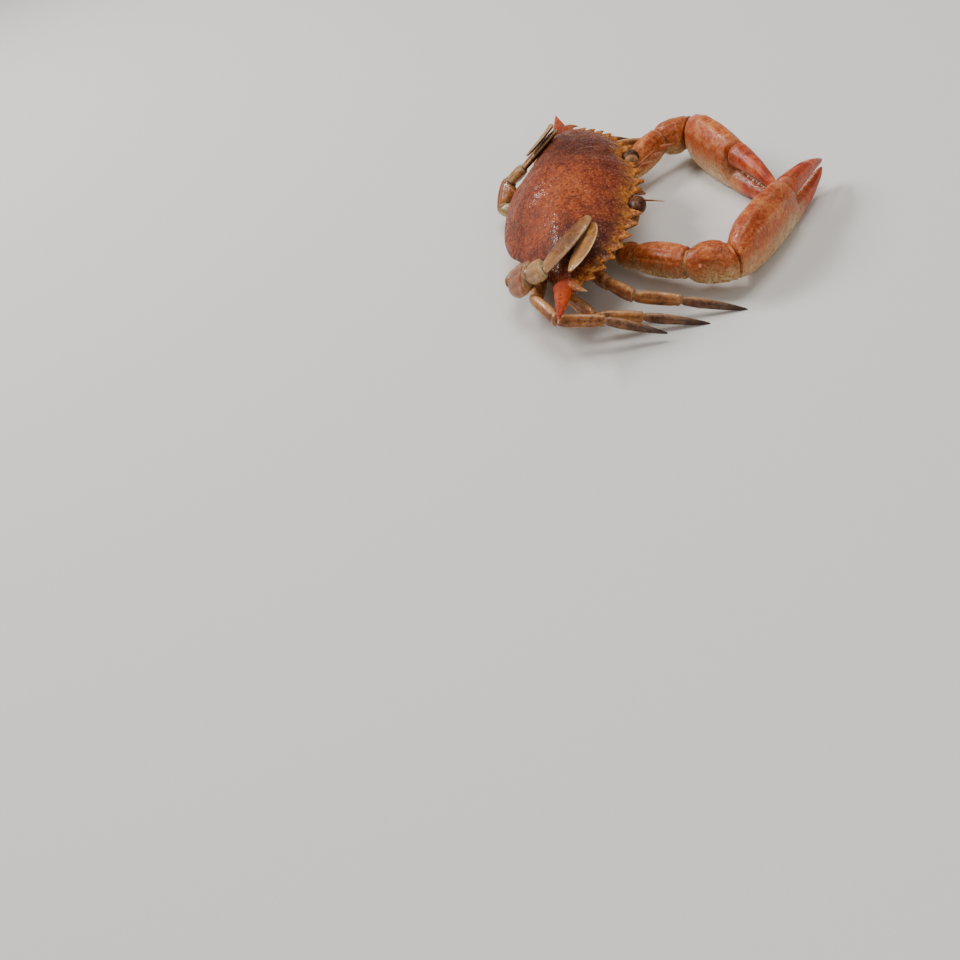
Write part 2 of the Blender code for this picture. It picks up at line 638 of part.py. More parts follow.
def spine_on(start, end, inward, share, length, width, forward, out, upward, radius):
    """A cone whose root is sunk well into a limb, leaning forward along it."""
    axis = (end - start).normalized()
    lean = (axis * forward + inward * out + Vector((0.0, 0.0, 1.0)) * upward).normalized()
    foot = start.lerp(end, share)
    surface = foot + (inward * out + Vector((0.0, 0.0, 1.0)) * upward).normalized() * radius
    return tooth_form(surface - lean * (SPINE_SINK * width), surface + lean * length, width, width, sides=5)


def finger_teeth(wrist, tip, table, upper):
    """Low blunt teeth along one side of the gape, each sunk into its finger."""
    axis = (tip - wrist).normalized()
    up = axis.cross(UP).cross(axis).normalized()
    facing = -up if upper else up
    forms = []
    for share, width, height in BITING_TEETH:
        share += BITING_STAGGER if upper else 0.0
        for low, high in zip(table, table[1:]):
            if low[0] <= share <= high[0]:
                part_way = (share - low[0]) / (high[0] - low[0])
                rise = low[1] + (high[1] - low[1]) * part_way
                half_height = low[2] + (high[2] - low[2]) * part_way
        surface = wrist.lerp(tip, share) + up * rise + facing * half_height
        forms.append(tooth_form(surface - facing * BITING_ROOT, surface + facing * height, width,
                                width * BITING_THICK, sides=6))
    return forms


def build_arm(label, side):
    joints = [mirrored(point, side) for point in ARM_JOINTS[side]]
    normals = joint_normals(joints)
    inward = Vector((side * ARM_SPINE_SIDE[0], ARM_SPINE_SIDE[1], 0.0))
    for k, (piece, (broad, thin)) in enumerate(ARM_SIZES.items()):
        start, end = piece_ends(joints, normals, k)
        profile = CLAW_CARPUS_PROFILE if piece == "carpus" else PIECE_PROFILE
        rings = limb_rings(start, end, profile, broad, thin, UP, normals[k], normals[k + 1], sides=12, lowest=0.0)
        bm = bmesh.new()
        add_loft(bm, rings)
        item = make_object(f"claw_{piece}_{label}", bm, "claw")
        spines = [spine_on(start, end, inward, *sizes, 0.5 * thin) for name, *sizes in ARM_SPINES if name == piece]
        if spines:
            combine(item, spines, "UNION")
    wrist = piece_ends(joints, normals, 3)[0]
    tip = joints[4]
    bm = bmesh.new()
    add_loft(bm, claw_rings(wrist, tip, PALM_PROFILE, normals[3], sides=14))
    palm = make_object(f"claw_palm_{label}", bm, "claw")
    forms = finger_teeth(wrist, tip, PALM_PROFILE, False)
    forms.append(spine_on(wrist, tip, inward, *PALM_SPINE, PALM_SPINE_RADIUS))
    combine(palm, forms, "UNION")
    bm = bmesh.new()
    add_loft(bm, claw_rings(wrist, tip, FINGER_PROFILE, sides=12))
    finger = make_object(f"claw_finger_{label}", bm, "finger")
    combine(finger, finger_teeth(wrist, tip, FINGER_PROFILE, True), "UNION")


def belly_rings(inner, outer, widen):
    """Cross sections of the tail plate that is folded under the body, front to rear."""
    rings = []
    path = [Vector((0.0, y, z)) for y, z, half in BELLY_PLATE]
    for k, (y, z, half) in enumerate(BELLY_PLATE):
        ahead = path[min(k + 1, len(path) - 1)]
        behind = path[max(k - 1, 0)]
        along = (ahead - behind).normalized()
        inward = along.cross(Vector((1.0, 0.0, 0.0))).normalized()
        if inward.z < 0.0 or (abs(inward.z) < 0.3 and inward.y < 0.0):
            inward = -inward
        centre = path[k]
        if k == 0:
            centre = centre - along * widen
        if k == len(path) - 1:
            centre = centre + along * widen
        side_way = Vector((half + widen, 0.0, 0.0))
        rings.append([centre - side_way - inward * outer, centre + side_way - inward * outer,
                      centre + side_way + inward * inner, centre - side_way + inward * inner])
    return rings


def mouth_rings(side, inner, outer, widen):
    """Cross sections of one of the two flat plates that close the mouth, top to foot."""
    top = Vector((side * MOUTH_PLATE_MIDDLE, *MOUTH_TOP))
    foot = Vector((side * MOUTH_PLATE_MIDDLE, *MOUTH_FOOT))
    along = (foot - top).normalized()
    inward = Vector((0.0, -along.z, along.y)).normalized()
    if inward.y > 0.0:
        inward = -inward
    rings = []
    for share, factor in MOUTH_PROFILE:
        spread = widen * (2.0 * share - 1.0) if share in (0.0, 1.0) else 0.0
        centre = top.lerp(foot, share) + along * spread
        side_way = Vector((MOUTH_PLATE_HALF * factor + widen, 0.0, 0.0))
        rings.append([centre - side_way - inward * outer, centre + side_way - inward * outer,
                      centre + side_way + inward * inner, centre - side_way + inward * inner])
    return rings


def feeler_rings(name, side, widen=0.0, sides=8):
    start, control, end = (mirrored(point, side) for point in FEELERS[name])
    width = FEELER_WIDTH[name]
    profile = FEELER_PROFILES[name]
    if widen > 0.0:
        start = start - (control - start).normalized() * widen
        profile = [(share, 1.0, 1.0) for share, broad, thin in profile]
    return limb_rings(start, end, profile, width + 2.0 * widen, width + 2.0 * widen, UP, None, None,
                      control, sides=sides)


def closed_form(rings):
    bm = bmesh.new()
    add_loft(bm, rings)
    return scratch_object(bm)


def build_face(label, side):
    for name in FEELERS:
        bm = bmesh.new()
        add_loft(bm, feeler_rings(name, side))
        make_object(f"{name}_{label}", bm, "feeler")
    bm = bmesh.new()
    add_loft(bm, mouth_rings(side, 0.5 * MOUTH_PLATE_THICK, 0.5 * MOUTH_PLATE_THICK, 0.0))
    make_object(f"mouth_plate_{label}", bm, "underside")
    make_object(f"eye_{label}", ellipsoid_form(mirrored(EYE_CENTRE, side), EYE_RADII), "eye", 0.15)


def build_belly_plate():
    bm = bmesh.new()
    add_loft(bm, belly_rings(BELLY_PLATE_THICK, 0.0, 0.0))
    make_object("abdomen", bm, "underside")


def main():
    clear_scene()
    build_carapace()
    build_body()
    build_belly_plate()
    for label, side in SIDES.items():
        build_face(label, side)
        build_arm(label, side)
        for leg in WALKING_JOINTS:
            build_walking_leg(leg, label, side)
        build_swimming_leg(label, side)


main()
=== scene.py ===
import math

import bpy
import numpy as np
from mathutils import Matrix, Vector, noise


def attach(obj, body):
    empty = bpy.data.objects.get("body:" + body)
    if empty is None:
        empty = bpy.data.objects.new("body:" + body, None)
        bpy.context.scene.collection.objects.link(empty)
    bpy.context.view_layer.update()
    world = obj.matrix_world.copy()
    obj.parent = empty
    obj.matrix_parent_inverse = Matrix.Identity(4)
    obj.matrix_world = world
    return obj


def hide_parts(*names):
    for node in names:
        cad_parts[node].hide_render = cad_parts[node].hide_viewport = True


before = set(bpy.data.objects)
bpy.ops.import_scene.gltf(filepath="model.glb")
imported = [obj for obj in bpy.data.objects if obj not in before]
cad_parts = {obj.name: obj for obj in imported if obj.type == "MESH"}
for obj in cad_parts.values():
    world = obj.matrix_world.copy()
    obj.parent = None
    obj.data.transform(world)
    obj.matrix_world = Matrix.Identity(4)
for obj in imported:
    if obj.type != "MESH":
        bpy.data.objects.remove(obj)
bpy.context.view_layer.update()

# The crab as it stands: metres, +Y the way the head points, +X its right side, origin on the
# floor under the belly. Sizes below are millimetres.
MM = 0.001
SIDES = {"right": 1, "left": -1}

# The carapace: one cast of chitin over the back, red-brown from cooking, with a fine grain of
# tubercles, nine teeth along each front side and a long spine at each corner. It is the crab's
# own shell, hardened in one piece, and it hangs from the body at its rear edge.
UPWARDS = (0.0, 0.0, 1.0)
SHELL_CENTRE = (0.0, -1.0)
HALF_OUTLINE = [
    (0.0, 26.6), (7.5, 26.8), (12.5, 25.4), (18.5, 23.2), (24.2, 23.8), (29.6, 22.8),
    (36.5, 20.4), (42.9, 17.3), (48.8, 13.8), (53.7, 10.0), (57.8, 6.0), (60.8, 2.0),
    (60.0, -3.2), (53.0, -7.6), (43.0, -12.8), (33.8, -17.6), (28.6, -20.6), (22.4, -24.0),
    (11.0, -26.6), (0.0, -27.2),
]
EYE_LEDGE = (19.4, 22.2, 18.1)
EYE_LEDGE_RADII = (7.2, 4.4, 1.5)
SIDE_TEETH = [
    (27.5, 28.4), (34.2, 26.0), (40.4, 23.2), (46.1, 20.2), (51.5, 16.9), (56.3, 13.4),
    (60.6, 9.4),
]
LAST_TOOTH = ((59.9, 4.8), (63.6, 3.6), (64.2, -0.9))
LAST_TOOTH_LINE = [(60.4, 0.4, 22.0), (63.4, 1.6, 22.6), (65.2, 3.4, 22.0), (66.2, 6.0, 20.8)]
LAST_TOOTH_WIDTH = 5.6
LAST_TOOTH_RINGS = 24
LAST_TOOTH_FLATNESS = 0.62
FRONT_TEETH = [(4.2, 30.6), (10.4, 29.2)]
SPINE_TIP = (83.0, -4.2)
SPINE_FOOT = (60.0, -3.5)
SPINE_HALF_FOOT = 5.8
SPINE_LEVEL = 21.6
SPINE_FROM = 59.0
SPINE_LENGTH = 24.0
SPINE_HALF_WIDTH = 4.7
SPINE_KEEL = 0.6
OUTLINE_POINTS = 800
MARGIN_Z = 24.0
CROWN = 9.6
TOOTH_HALF_FOOT = 3.4
FRONT_TOOTH_HALF_FOOT = 3.0
EDGE_ROLL = 2.6
FOLD_SHARE = 0.26
FOLD_POWER = 0.62
ROOF_LEVEL = 14.4
ROOF_RISE = 0.10
INNER_SHARE = 0.93
DOME_RINGS = 66
TEETH_RINGS = 20
UNDER_SHARES = (0.91, 0.87, 0.82, 0.76, 0.70, 0.5, 0.25)
GRAIN_MM = 1.1
SHARP_DEGREES = 48.0
FILM_MM = 4.0
RIPPLE_MM = 1.6
RIPPLE_DEPTH = 0.3
# Soft spots on the shell, each a place, half widths and a strength: wet, lighter or darker, raised
WET_SPOTS = [(34.0, -6.0, 6.5, 6.5, 1.0), (28.0, -18.0, 3.5, 3.5, 1.0), (-20.0, -12.0, 5.0, 5.0, 1.0)]
# Tone spots: partly the shell's own colour, partly painted light over the middle and painted shade on the far
# left side and the front right.
TONE_SPOTS = [
    (18.0, 1.0, 17.0, 11.0, 0.22), (47.0, 6.0, 15.0, 13.0, -0.24), (-24.0, 4.0, 21.0, 13.0, -0.21),
    (16.0, -19.0, 20.0, 6.0, -0.07),
]
MIDDLE_SWELLINGS = [(0.0, 9.5, 15.0, 9.0, 1.1), (0.0, -14.0, 9.0, 8.0, 1.2)]
SIDE_SWELLINGS = [
    (29.0, -5.0, 17.0, 11.0, 0.6), (13.0, -5.5, 4.5, 9.0, -0.9), (7.0, 11.0, 5.0, 4.0, 0.35),
    (6.0, -17.5, 3.6, 4.4, 0.35),
]
# Raised lines on the shell's right half: their run, height and half width
SHELL_RIDGES = [
    ([(57.0, 0.6), (47.0, 5.4), (37.0, 7.4), (28.0, 6.6), (20.0, 3.4)], 0.20, 0.8),
    ([(17.0, 13.4), (11.0, 15.6), (5.5, 15.2)], 0.12, 0.8),
    ([(22.0, -22.4), (11.0, -25.2), (0.0, -25.9)], 0.35, 0.7),
    ([(58.0, -2.6), (52.0, -6.3), (43.0, -11.4), (34.0, -16.2), (28.0, -19.4), (22.0, -22.4)],
     0.32, 0.6),
]
# Grooves between its regions
SHELL_GROOVES = [
    ([(0.0, -3.6), (5.2, -3.4), (8.8, 1.6), (11.6, 4.2), (18.0, 8.0), (23.0, 14.0)], 0.34, 1.5),
    ([(5.2, -3.4), (6.2, -8.4), (4.6, -13.4), (7.6, -18.4)], 0.40, 1.2),
    ([(0.0, 21.6), (0.0, 15.0), (0.0, 9.0)], 0.15, 0.8),
    ([(11.6, 4.2), (15.0, -1.0), (16.4, -6.0), (15.0, -11.0)], 0.22, 1.6),
]


def curve_through(points, count):
    """Catmull-Rom curve through points, read at equal lengths."""
    points = np.asarray(points, float)
    padded = np.concatenate([points[:1], points, points[-1:]])
    dense = []
    for k in range(1, len(padded) - 2):
        p0, p1, p2, p3 = padded[k - 1:k + 3]
        for t in np.linspace(0.0, 1.0, 24, endpoint=False):
            dense.append(0.5 * (2 * p1 + (p2 - p0) * t + (2 * p0 - 5 * p1 + 4 * p2 - p3) * t * t
                                + (3 * p1 - p0 - 3 * p2 + p3) * t ** 3))
    dense.append(points[-1])
    dense = np.array(dense)
    along = np.concatenate([[0.0], np.cumsum(np.linalg.norm(np.diff(dense, axis=0), axis=1))])
    wanted = np.linspace(0.0, along[-1], count)
    return np.stack([np.interp(wanted, along, column) for column in dense.T], axis=1)


def unit(vector):
    return vector / np.linalg.norm(vector)


def mirrored(points, side):
    """Points of the right half, or their mirror image on the left."""
    return np.array(points, float) * (side, 1.0, 1.0)


def distance_to_line(points, line):
    """Distance of each flat point from a polyline."""
    nearest = np.full(len(points), 1e9)
    for a, b in zip(line[:-1], line[1:]):
        step = b - a
        share = np.clip(((points - a) @ step) / max(step @ step, 1e-12), 0.0, 1.0)
        nearest = np.minimum(nearest, np.linalg.norm(points - a - share[:, None] * step, axis=1))
    return nearest


def near_line(points, line, width, count=30):
    """1 on a curved line, falling off over the given half width; the left half mirrors the right."""
    folded = np.stack([np.abs(points[:, 0]), points[:, 1]], axis=1)
    return np.exp(-(distance_to_line(folded, curve_through(line, count)) / width) ** 2)


def spots_at(x, y, spots):
    """Sum of soft round spots at the given places."""
    return sum(strength * np.exp(-((x - cx) / sx) ** 2 - ((y - cy) / sy) ** 2)
               for cx, cy, sx, sy, strength in spots)


def roughness_field(points, size, seed):
    """Slow uneven swelling between -1 and 1."""
    return np.array([noise.noise(Vector(point) / size + Vector((0.0, seed, 0.0))) for point in points])


def join_forms(forms):
    """Several forms of points, faces and marks as one."""
    points, faces, marks = [], [], {}
    base = 0
    names = sorted({name for form in forms for name in form[2]})
    for form_points, form_faces, form_marks in forms:
        points.append(form_points)
        faces += [tuple(i + base for i in face) for face in form_faces]
        for name in names:
            marks.setdefault(name, []).append(np.broadcast_to(form_marks.get(name, 0.0), len(form_points)))
        base += len(form_points)
    return np.concatenate(points), faces, {name: np.concatenate(values) for name, values in marks.items()}


def placed(name, data):
    """A new object of the given data in the scene."""
    item = bpy.data.objects.new(name, data)
    bpy.context.scene.collection.objects.link(item)
    return item


def new_piece(name, forms, material, node):
    """A finished piece at the origin, in millimetres, that stands for a CAD node and rides on the crab."""
    points, faces, marks = join_forms(forms)
    mesh = bpy.data.meshes.new(name)
    mesh.from_pydata((points * MM).tolist(), [], faces)
    for mark, values in marks.items():
        mesh.attributes.new(mark, "FLOAT", "POINT").data.foreach_set("value", values.astype(np.float32))
    piece = placed(name, mesh)
    mesh.materials.append(material)
    bpy.ops.object.select_all(action="DESELECT")
    piece.select_set(True)
    bpy.context.view_layer.objects.active = piece
    bpy.ops.object.mode_set(mode="EDIT")
    bpy.ops.mesh.select_all(action="SELECT")
    bpy.ops.mesh.normals_make_consistent(inside=False)
    bpy.ops.object.mode_set(mode="OBJECT")
    bpy.ops.object.shade_smooth_by_angle(angle=math.radians(SHARP_DEGREES))
    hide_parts(node)
    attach(piece, "root")


def rgb(code):
    """sRGB hex to linear colour."""
    values = [int(code[i:i + 2], 16) / 255.0 for i in (0, 2, 4)]
    return tuple(v / 12.92 if v <= 0.04045 else ((v + 0.055) / 1.055) ** 2.4 for v in values) + (1.0,)


def add(tree, kind, inputs=None, out=0, stops=(), **settings):
    """One shader node with its settings and links, of which one output is given back. An input is
    a value, a hex colour or another node's output; the stops of a ramp are hex colours or greys."""
    item = tree.nodes.new("ShaderNode" + kind)
    for key, value in settings.items():
        setattr(item, key, value)
    for key, value in (inputs or {}).items():
        if isinstance(value, bpy.types.NodeSocket):
            tree.links.new(value, item.inputs[key])
        else:
            item.inputs[key].default_value = rgb(value) if isinstance(value, str) else value
    while stops and len(item.color_ramp.elements) < len(stops):
        item.color_ramp.elements.new(0.5)
    for k, (place, colour) in enumerate(stops):
        item.color_ramp.elements[k].position = place
        grey = (colour, colour, colour, 1.0)
        item.color_ramp.elements[k].color = rgb(colour) if isinstance(colour, str) else grey
    return item.outputs[out] if item.outputs else None


def paint_over(tree, colour, *layers):
    """Colours laid over one another, each through its mask."""
    for mask, over in layers:
        colour = add(tree, "Mix", {0: mask, 6: colour, 7: over}, 2, data_type="RGBA")
    return colour


def start_material(name):
    """A new material and its empty node tree."""
    material = bpy.data.materials.new(name)
    material.use_nodes = True
    tree = material.node_tree
    tree.nodes.clear()
    return material, tree


def dark_specks(tree, place, cell_mm, size, share):
    """Small dark freckles with ragged outlines: a mask, 1 on a speck."""
    distance = add(tree, "TexVoronoi", {"Vector": place, "Scale": 1000.0 / cell_mm})
    ragged = add(tree, "TexNoise", {"Vector": place, "Scale": 1000.0 / 0.5})
    reach = add(tree, "Math", {0: ragged, 1: 2.0 * size}, operation="MULTIPLY")
    near = add(tree, "Math", {0: distance, 1: reach}, operation="LESS_THAN")
    chosen = add(tree, "SeparateColor", {"Color": distance.node.outputs["Color"]}, "Red")
    few = add(tree, "Math", {0: chosen, 1: share}, operation="LESS_THAN")
    return add(tree, "Math", {0: near, 1: few}, operation="MULTIPLY")


def finish_shell(tree, colour, rough_low, rough_high, bump_sources, coat, place, soaked=0.0):
    """Wet chitin over the given colour: a damp film that breaks up, and the fine grain as bump."""
    film = add(tree, "TexNoise", {"Vector": place, "Scale": 1000.0 / FILM_MM, "Detail": 5.0,
                                  "Roughness": 0.6})
    rough = add(tree, "MapRange", {"Value": film, "From Min": 0.38, "From Max": 0.62,
                                   "To Min": rough_low, "To Max": rough_high})
    broken = add(tree, "ValToRGB", {"Fac": film}, stops=[(0.50, 0.15), (0.60, 1.0)])
    wet = add(tree, "Math", {0: broken, 1: coat, 2: soaked}, operation="MULTIPLY_ADD", use_clamp=True)
    ripple = add(tree, "TexNoise", {"Vector": place, "Scale": 1000.0 / RIPPLE_MM})
    film_normal = add(tree, "Bump", {"Height": ripple, "Strength": 1.0, "Distance": RIPPLE_DEPTH * MM})
    grain_normal = {}
    for height, strength, depth in bump_sources:
        inputs = {"Height": height, "Strength": strength, "Distance": depth * MM, **grain_normal}
        grain_normal = {"Normal": add(tree, "Bump", inputs)}
    surface = add(tree, "BsdfPrincipled", {
        "Base Color": colour, "Roughness": rough, "IOR": 1.45, "Specular IOR Level": 0.22,
        "Coat Weight": wet, "Coat Roughness": 0.08, "Coat Normal": film_normal, "Subsurface Weight": 0.03,
        "Subsurface Radius": (0.8 * MM, 0.3 * MM, 0.15 * MM), "Subsurface Scale": 1.0, **grain_normal})
    add(tree, "OutputMaterial", {"Surface": surface})


def cooked_back_shell():
    """Boiled crab carapace: red-brown pigment clouded with purple-brown, orange along the teeth,
    lighter over the middle partly as painted light, painted shade on the far left side and the front right,
    painted highlights on the grain tips, painted shade between the grains, and a wet gloss that breaks up on
    the grain."""
    material, tree = start_material("cooked_back_shell")
    place = add(tree, "TexCoord", None, "Object")
    tone, rim, spine, under, soaked = (
        add(tree, "Attribute", None, "Fac", attribute_name=mark)
        for mark in ("tone", "rim", "spine", "under", "soaked"))
    clouds, mottle, fine = (
        add(tree, "TexNoise", {"Vector": place, "Scale": 1000.0 / size, "Detail": detail, "Roughness": rough,
                               "Distortion": twist})
        for size, detail, rough, twist in ((17.0, 7.0, 0.66, 0.5), (4.2, 6.0, 0.78, 0.0),
                                           (1.0, 4.0, 0.8, 0.0)))
    toned = add(tree, "Math", {0: clouds, 1: 0.75, 2: tone}, operation="MULTIPLY_ADD")
    base = add(tree, "ValToRGB", {"Fac": toned}, stops=[
        (0.30, "2e1010"), (0.42, "561a12"), (0.53, "8a3016"), (0.64, "be501f"), (0.80, "d97235")])
    blotch = add(tree, "ValToRGB", {"Fac": mottle}, stops=[
        (0.38, "33121a"), (0.46, "672415"), (0.54, "9c3f19"), (0.62, "cc7436")])
    dust = add(tree, "ValToRGB", {"Fac": fine}, stops=[(0.41, "3c150e"), (0.50, "8a3b19"), (0.59, "c97440")])
    # Painted shade: where the tone mark is low, on the far left side and the front right, the colour is
    # darkened.
    painted_shade = add(tree, "ValToRGB", {"Fac": tone}, stops=[(0.0, 0.60), (0.19, 0.0)])
    grain, small = (add(tree, "TexVoronoi", {"Vector": place, "Scale": 1000.0 / size})
                    for size in (GRAIN_MM, 0.55 * GRAIN_MM))
    dots = add(tree, "ValToRGB", {"Fac": grain}, stops=[(0.08, 1.0), (0.36, 0.0)])
    small_dots = add(tree, "ValToRGB", {"Fac": small}, stops=[(0.08, 1.0), (0.40, 0.0)])
    # Painted highlights on a share of the grain tips, and painted shade in the pits between the grains.
    chosen = add(tree, "SeparateColor", {"Color": grain.node.outputs["Color"]}, "Green")
    bright = add(tree, "ValToRGB", {"Fac": chosen}, stops=[(0.35, 0.06), (0.85, 0.50)])
    grain_tip_highlight = add(tree, "Math", {0: dots, 1: bright}, operation="MULTIPLY")
    grain_pit_shade = add(tree, "ValToRGB", {"Fac": grain}, stops=[(0.46, 0.0), (0.72, 0.55)])
    edge = add(tree, "ValToRGB", {"Fac": rim}, stops=[(0.0, 0.0), (0.45, 0.30), (0.85, 1.0)])
    patchy = add(tree, "ValToRGB", {"Fac": mottle}, stops=[(0.36, 0.15), (0.56, 0.85)])
    warm_edge = add(tree, "Math", {0: edge, 1: patchy}, operation="MULTIPLY", use_clamp=True)
    warm = add(tree, "ValToRGB", {"Fac": fine}, stops=[(0.38, "a34c12"), (0.50, "cf7c26"), (0.62, "e8ad58")])
    red = add(tree, "ValToRGB", {"Fac": spine}, stops=[
        (0.0, "7c2c10"), (0.30, "a33a10"), (0.60, "c64a14"), (0.86, "c23c18"), (0.95, "dd9468"),
        (1.0, "f4e4d0")])
    streaks = add(tree, "ValToRGB", {"Fac": mottle}, stops=[(0.40, 0.85), (0.50, 0.25), (0.58, 0.0)])
    red = paint_over(tree, red, (streaks, "6f2210"))
    border = add(tree, "Math", {0: mottle, 1: 0.5, 2: spine}, operation="MULTIPLY_ADD")
    border = add(tree, "ValToRGB", {"Fac": border}, stops=[
        (0.27, 0.0), (0.34, 0.35), (0.46, 0.88), (1.0, 1.0)])
    pale = add(tree, "ValToRGB", {"Fac": mottle}, stops=[(0.35, "a97440"), (0.65, "d2b184")])
    specks = dark_specks(tree, place, 2.6, 0.115, 0.70)
    colour = paint_over(
        tree, base, (0.54, blotch), (0.32, dust), (painted_shade, "30120e"), (grain_tip_highlight, "d0885a"), (grain_pit_shade, "38130c"),
        (warm_edge, warm), (border, red), (under, pale), (specks, "1c0b07"))
    beaded = add(tree, "ValToRGB", {"Fac": small}, stops=[(0.16, 1.0), (0.44, 0.0)])
    soaked = add(tree, "Math", {0: soaked, 1: beaded}, operation="MULTIPLY")
    bumps = [(dots, 1.0, 0.28), (small_dots, 0.7, 0.07), (mottle, 0.7, 0.45), (fine, 0.6, 0.12),
             (specks, 0.7, 0.15)]
    finish_shell(tree, colour, 0.42, 0.74, bumps, 0.30, place, soaked)
    return material


def shell_outlines():
    """The shell's outline without and with its teeth, and how far each point belongs to a spine."""
    dense = curve_through(HALF_OUTLINE, 4000)
    run = np.linalg.norm(np.diff(dense, axis=0, prepend=dense[:1]), axis=1).cumsum()
    spine_at = run[np.argmin(np.linalg.norm(dense - SPINE_FOOT, axis=1))]
    # More points by the spine, fewer behind it
    crowd = np.where(run < spine_at, 1.0, 0.62) + 3.0 * np.exp(-((run - spine_at) / 4.5) ** 2)
    crowd = np.cumsum(crowd)
    picks = np.searchsorted(crowd, np.linspace(crowd[0], crowd[-1], OUTLINE_POINTS // 2 + 1))
    half = dense[picks]
    outline = np.concatenate([half, half[1:-1][::-1] * (-1.0, 1.0)])
    steps = np.linalg.norm(np.roll(outline, -1, axis=0) - outline, axis=1)
    along = np.concatenate([[0.0], np.cumsum(steps)[:-1]])
    whole = steps.sum()
    edge = outline.copy()
    spine_mark = np.zeros(len(outline))

    def raise_tooth(foot_place, tip, half_foot, power, bow=0.0):
        """Draw the edge out to a tip over a foot of the given half width."""
        foot = np.argmin(np.linalg.norm(outline - foot_place, axis=1))
        gap = np.abs(along - along[foot])
        share = np.clip(1.0 - np.minimum(gap, whole - gap) / half_foot, 0.0, 1.0)
        reached = outline + share[:, None] ** power * (np.array(tip) - outline[foot])
        reached[:, 1] += bow * np.sin(math.pi * share)
        further = np.linalg.norm(reached - outline, axis=1) > np.linalg.norm(edge - outline, axis=1)
        edge[further] = reached[further]
        return further, share

    for side in (1.0, -1.0):
        for x, y in SIDE_TEETH:
            raise_tooth((side * (x - 1.4), y - 3.4), (side * x, y), TOOTH_HALF_FOOT, 1.05)
        for x, y in FRONT_TEETH:
            raise_tooth((side * x, y - 3.6), (side * x, y), FRONT_TOOTH_HALF_FOOT, 1.0)
        foot, tip = (np.array(place) * (side, 1.0) for place in (SPINE_FOOT, SPINE_TIP))
        further, share = raise_tooth(foot, tip, SPINE_HALF_FOOT, 1.06, 0.3)
        spine_mark[further] = share[further]
        front_foot, tip, spine_flank = (np.array((side * x, y)) for x, y in LAST_TOOTH)
        ends = sorted(np.argmin(np.linalg.norm(edge - place, axis=1)) for place in (front_foot, spine_flank))
        stretch = slice(ends[0], ends[1] + 1)
        run = np.linalg.norm(np.diff(edge[stretch], axis=0, prepend=edge[stretch][:1]), axis=1).cumsum()
        part = run / run[-1]
        first, last = edge[stretch][0], edge[stretch][-1]
        rise = np.minimum(part / 0.5, 1.0)[:, None]
        fall = np.clip(part / 0.5 - 1.0, 0.0, 1.0)[:, None]
        edge[stretch] = first + rise * (tip - first) + fall * (last - tip)
    return outline, edge, spine_mark


def step_between(values, low, high):
    """Smooth step from 0 to 1."""
    share = np.clip((values - low) / (high - low), 0.0, 1.0)
    return share * share * (3.0 - 2.0 * share)


def shell_margin(x, y):
    """Level of the shell's edge, which falls towards the sides and the rear."""
    return MARGIN_Z - 2.4 * (x / 60.0) ** 2 - 8.5 * (np.maximum(-y, 0.0) / 27.0) ** 1.4


def ellipsoid_form(centre, radii, ways=None, rows=40, columns=56):
    """Points and faces of an ellipsoid whose poles lie on its first way."""
    ways = np.eye(3) if ways is None else np.array(ways)
    lean, turn = np.meshgrid(np.pi * np.arange(1, rows) / rows,
                             2.0 * np.pi * np.arange(columns) / columns, indexing="ij")
    local = np.stack([np.cos(lean), np.sin(lean) * np.cos(turn), np.sin(lean) * np.sin(turn)], axis=-1)
    local = np.concatenate([local.reshape(-1, 3), [(1.0, 0.0, 0.0), (-1.0, 0.0, 0.0)]])
    return np.array(centre) + (local * radii) @ ways, tube_faces(rows - 1, columns), local


def eye_ledge(side):
    """The ledge of shell under an eye."""
    points, faces, _ = ellipsoid_form(mirrored(EYE_LEDGE, side), EYE_LEDGE_RADII, None, 18, 40)
    return points, faces, {"tone": 0.3, "under": 0.75}


def tube_faces(count, sides):
    """Faces of a tube of rings with a cap point at each end."""
    faces = []
    for k in range(count - 1):
        for i in range(sides):
            j = (i + 1) % sides
            faces.append((k * sides + i, k * sides + j, (k + 1) * sides + j, (k + 1) * sides + i))
    first, last = count * sides, count * sides + 1
    for i in range(sides):
        j = (i + 1) % sides
        faces.append((first, j, i))
        faces.append((last, (count - 1) * sides + i, (count - 1) * sides + j))
    return faces


def folded_under(level, share, y):
    """Level of the shell's lower face, from the given edge level in to its roof over the body."""
    fall = np.clip((1.0 - share) / FOLD_SHARE, 0.0, 1.0) ** FOLD_POWER
    return level * (1.0 - fall) + (ROOF_LEVEL + ROOF_RISE * y) * fall


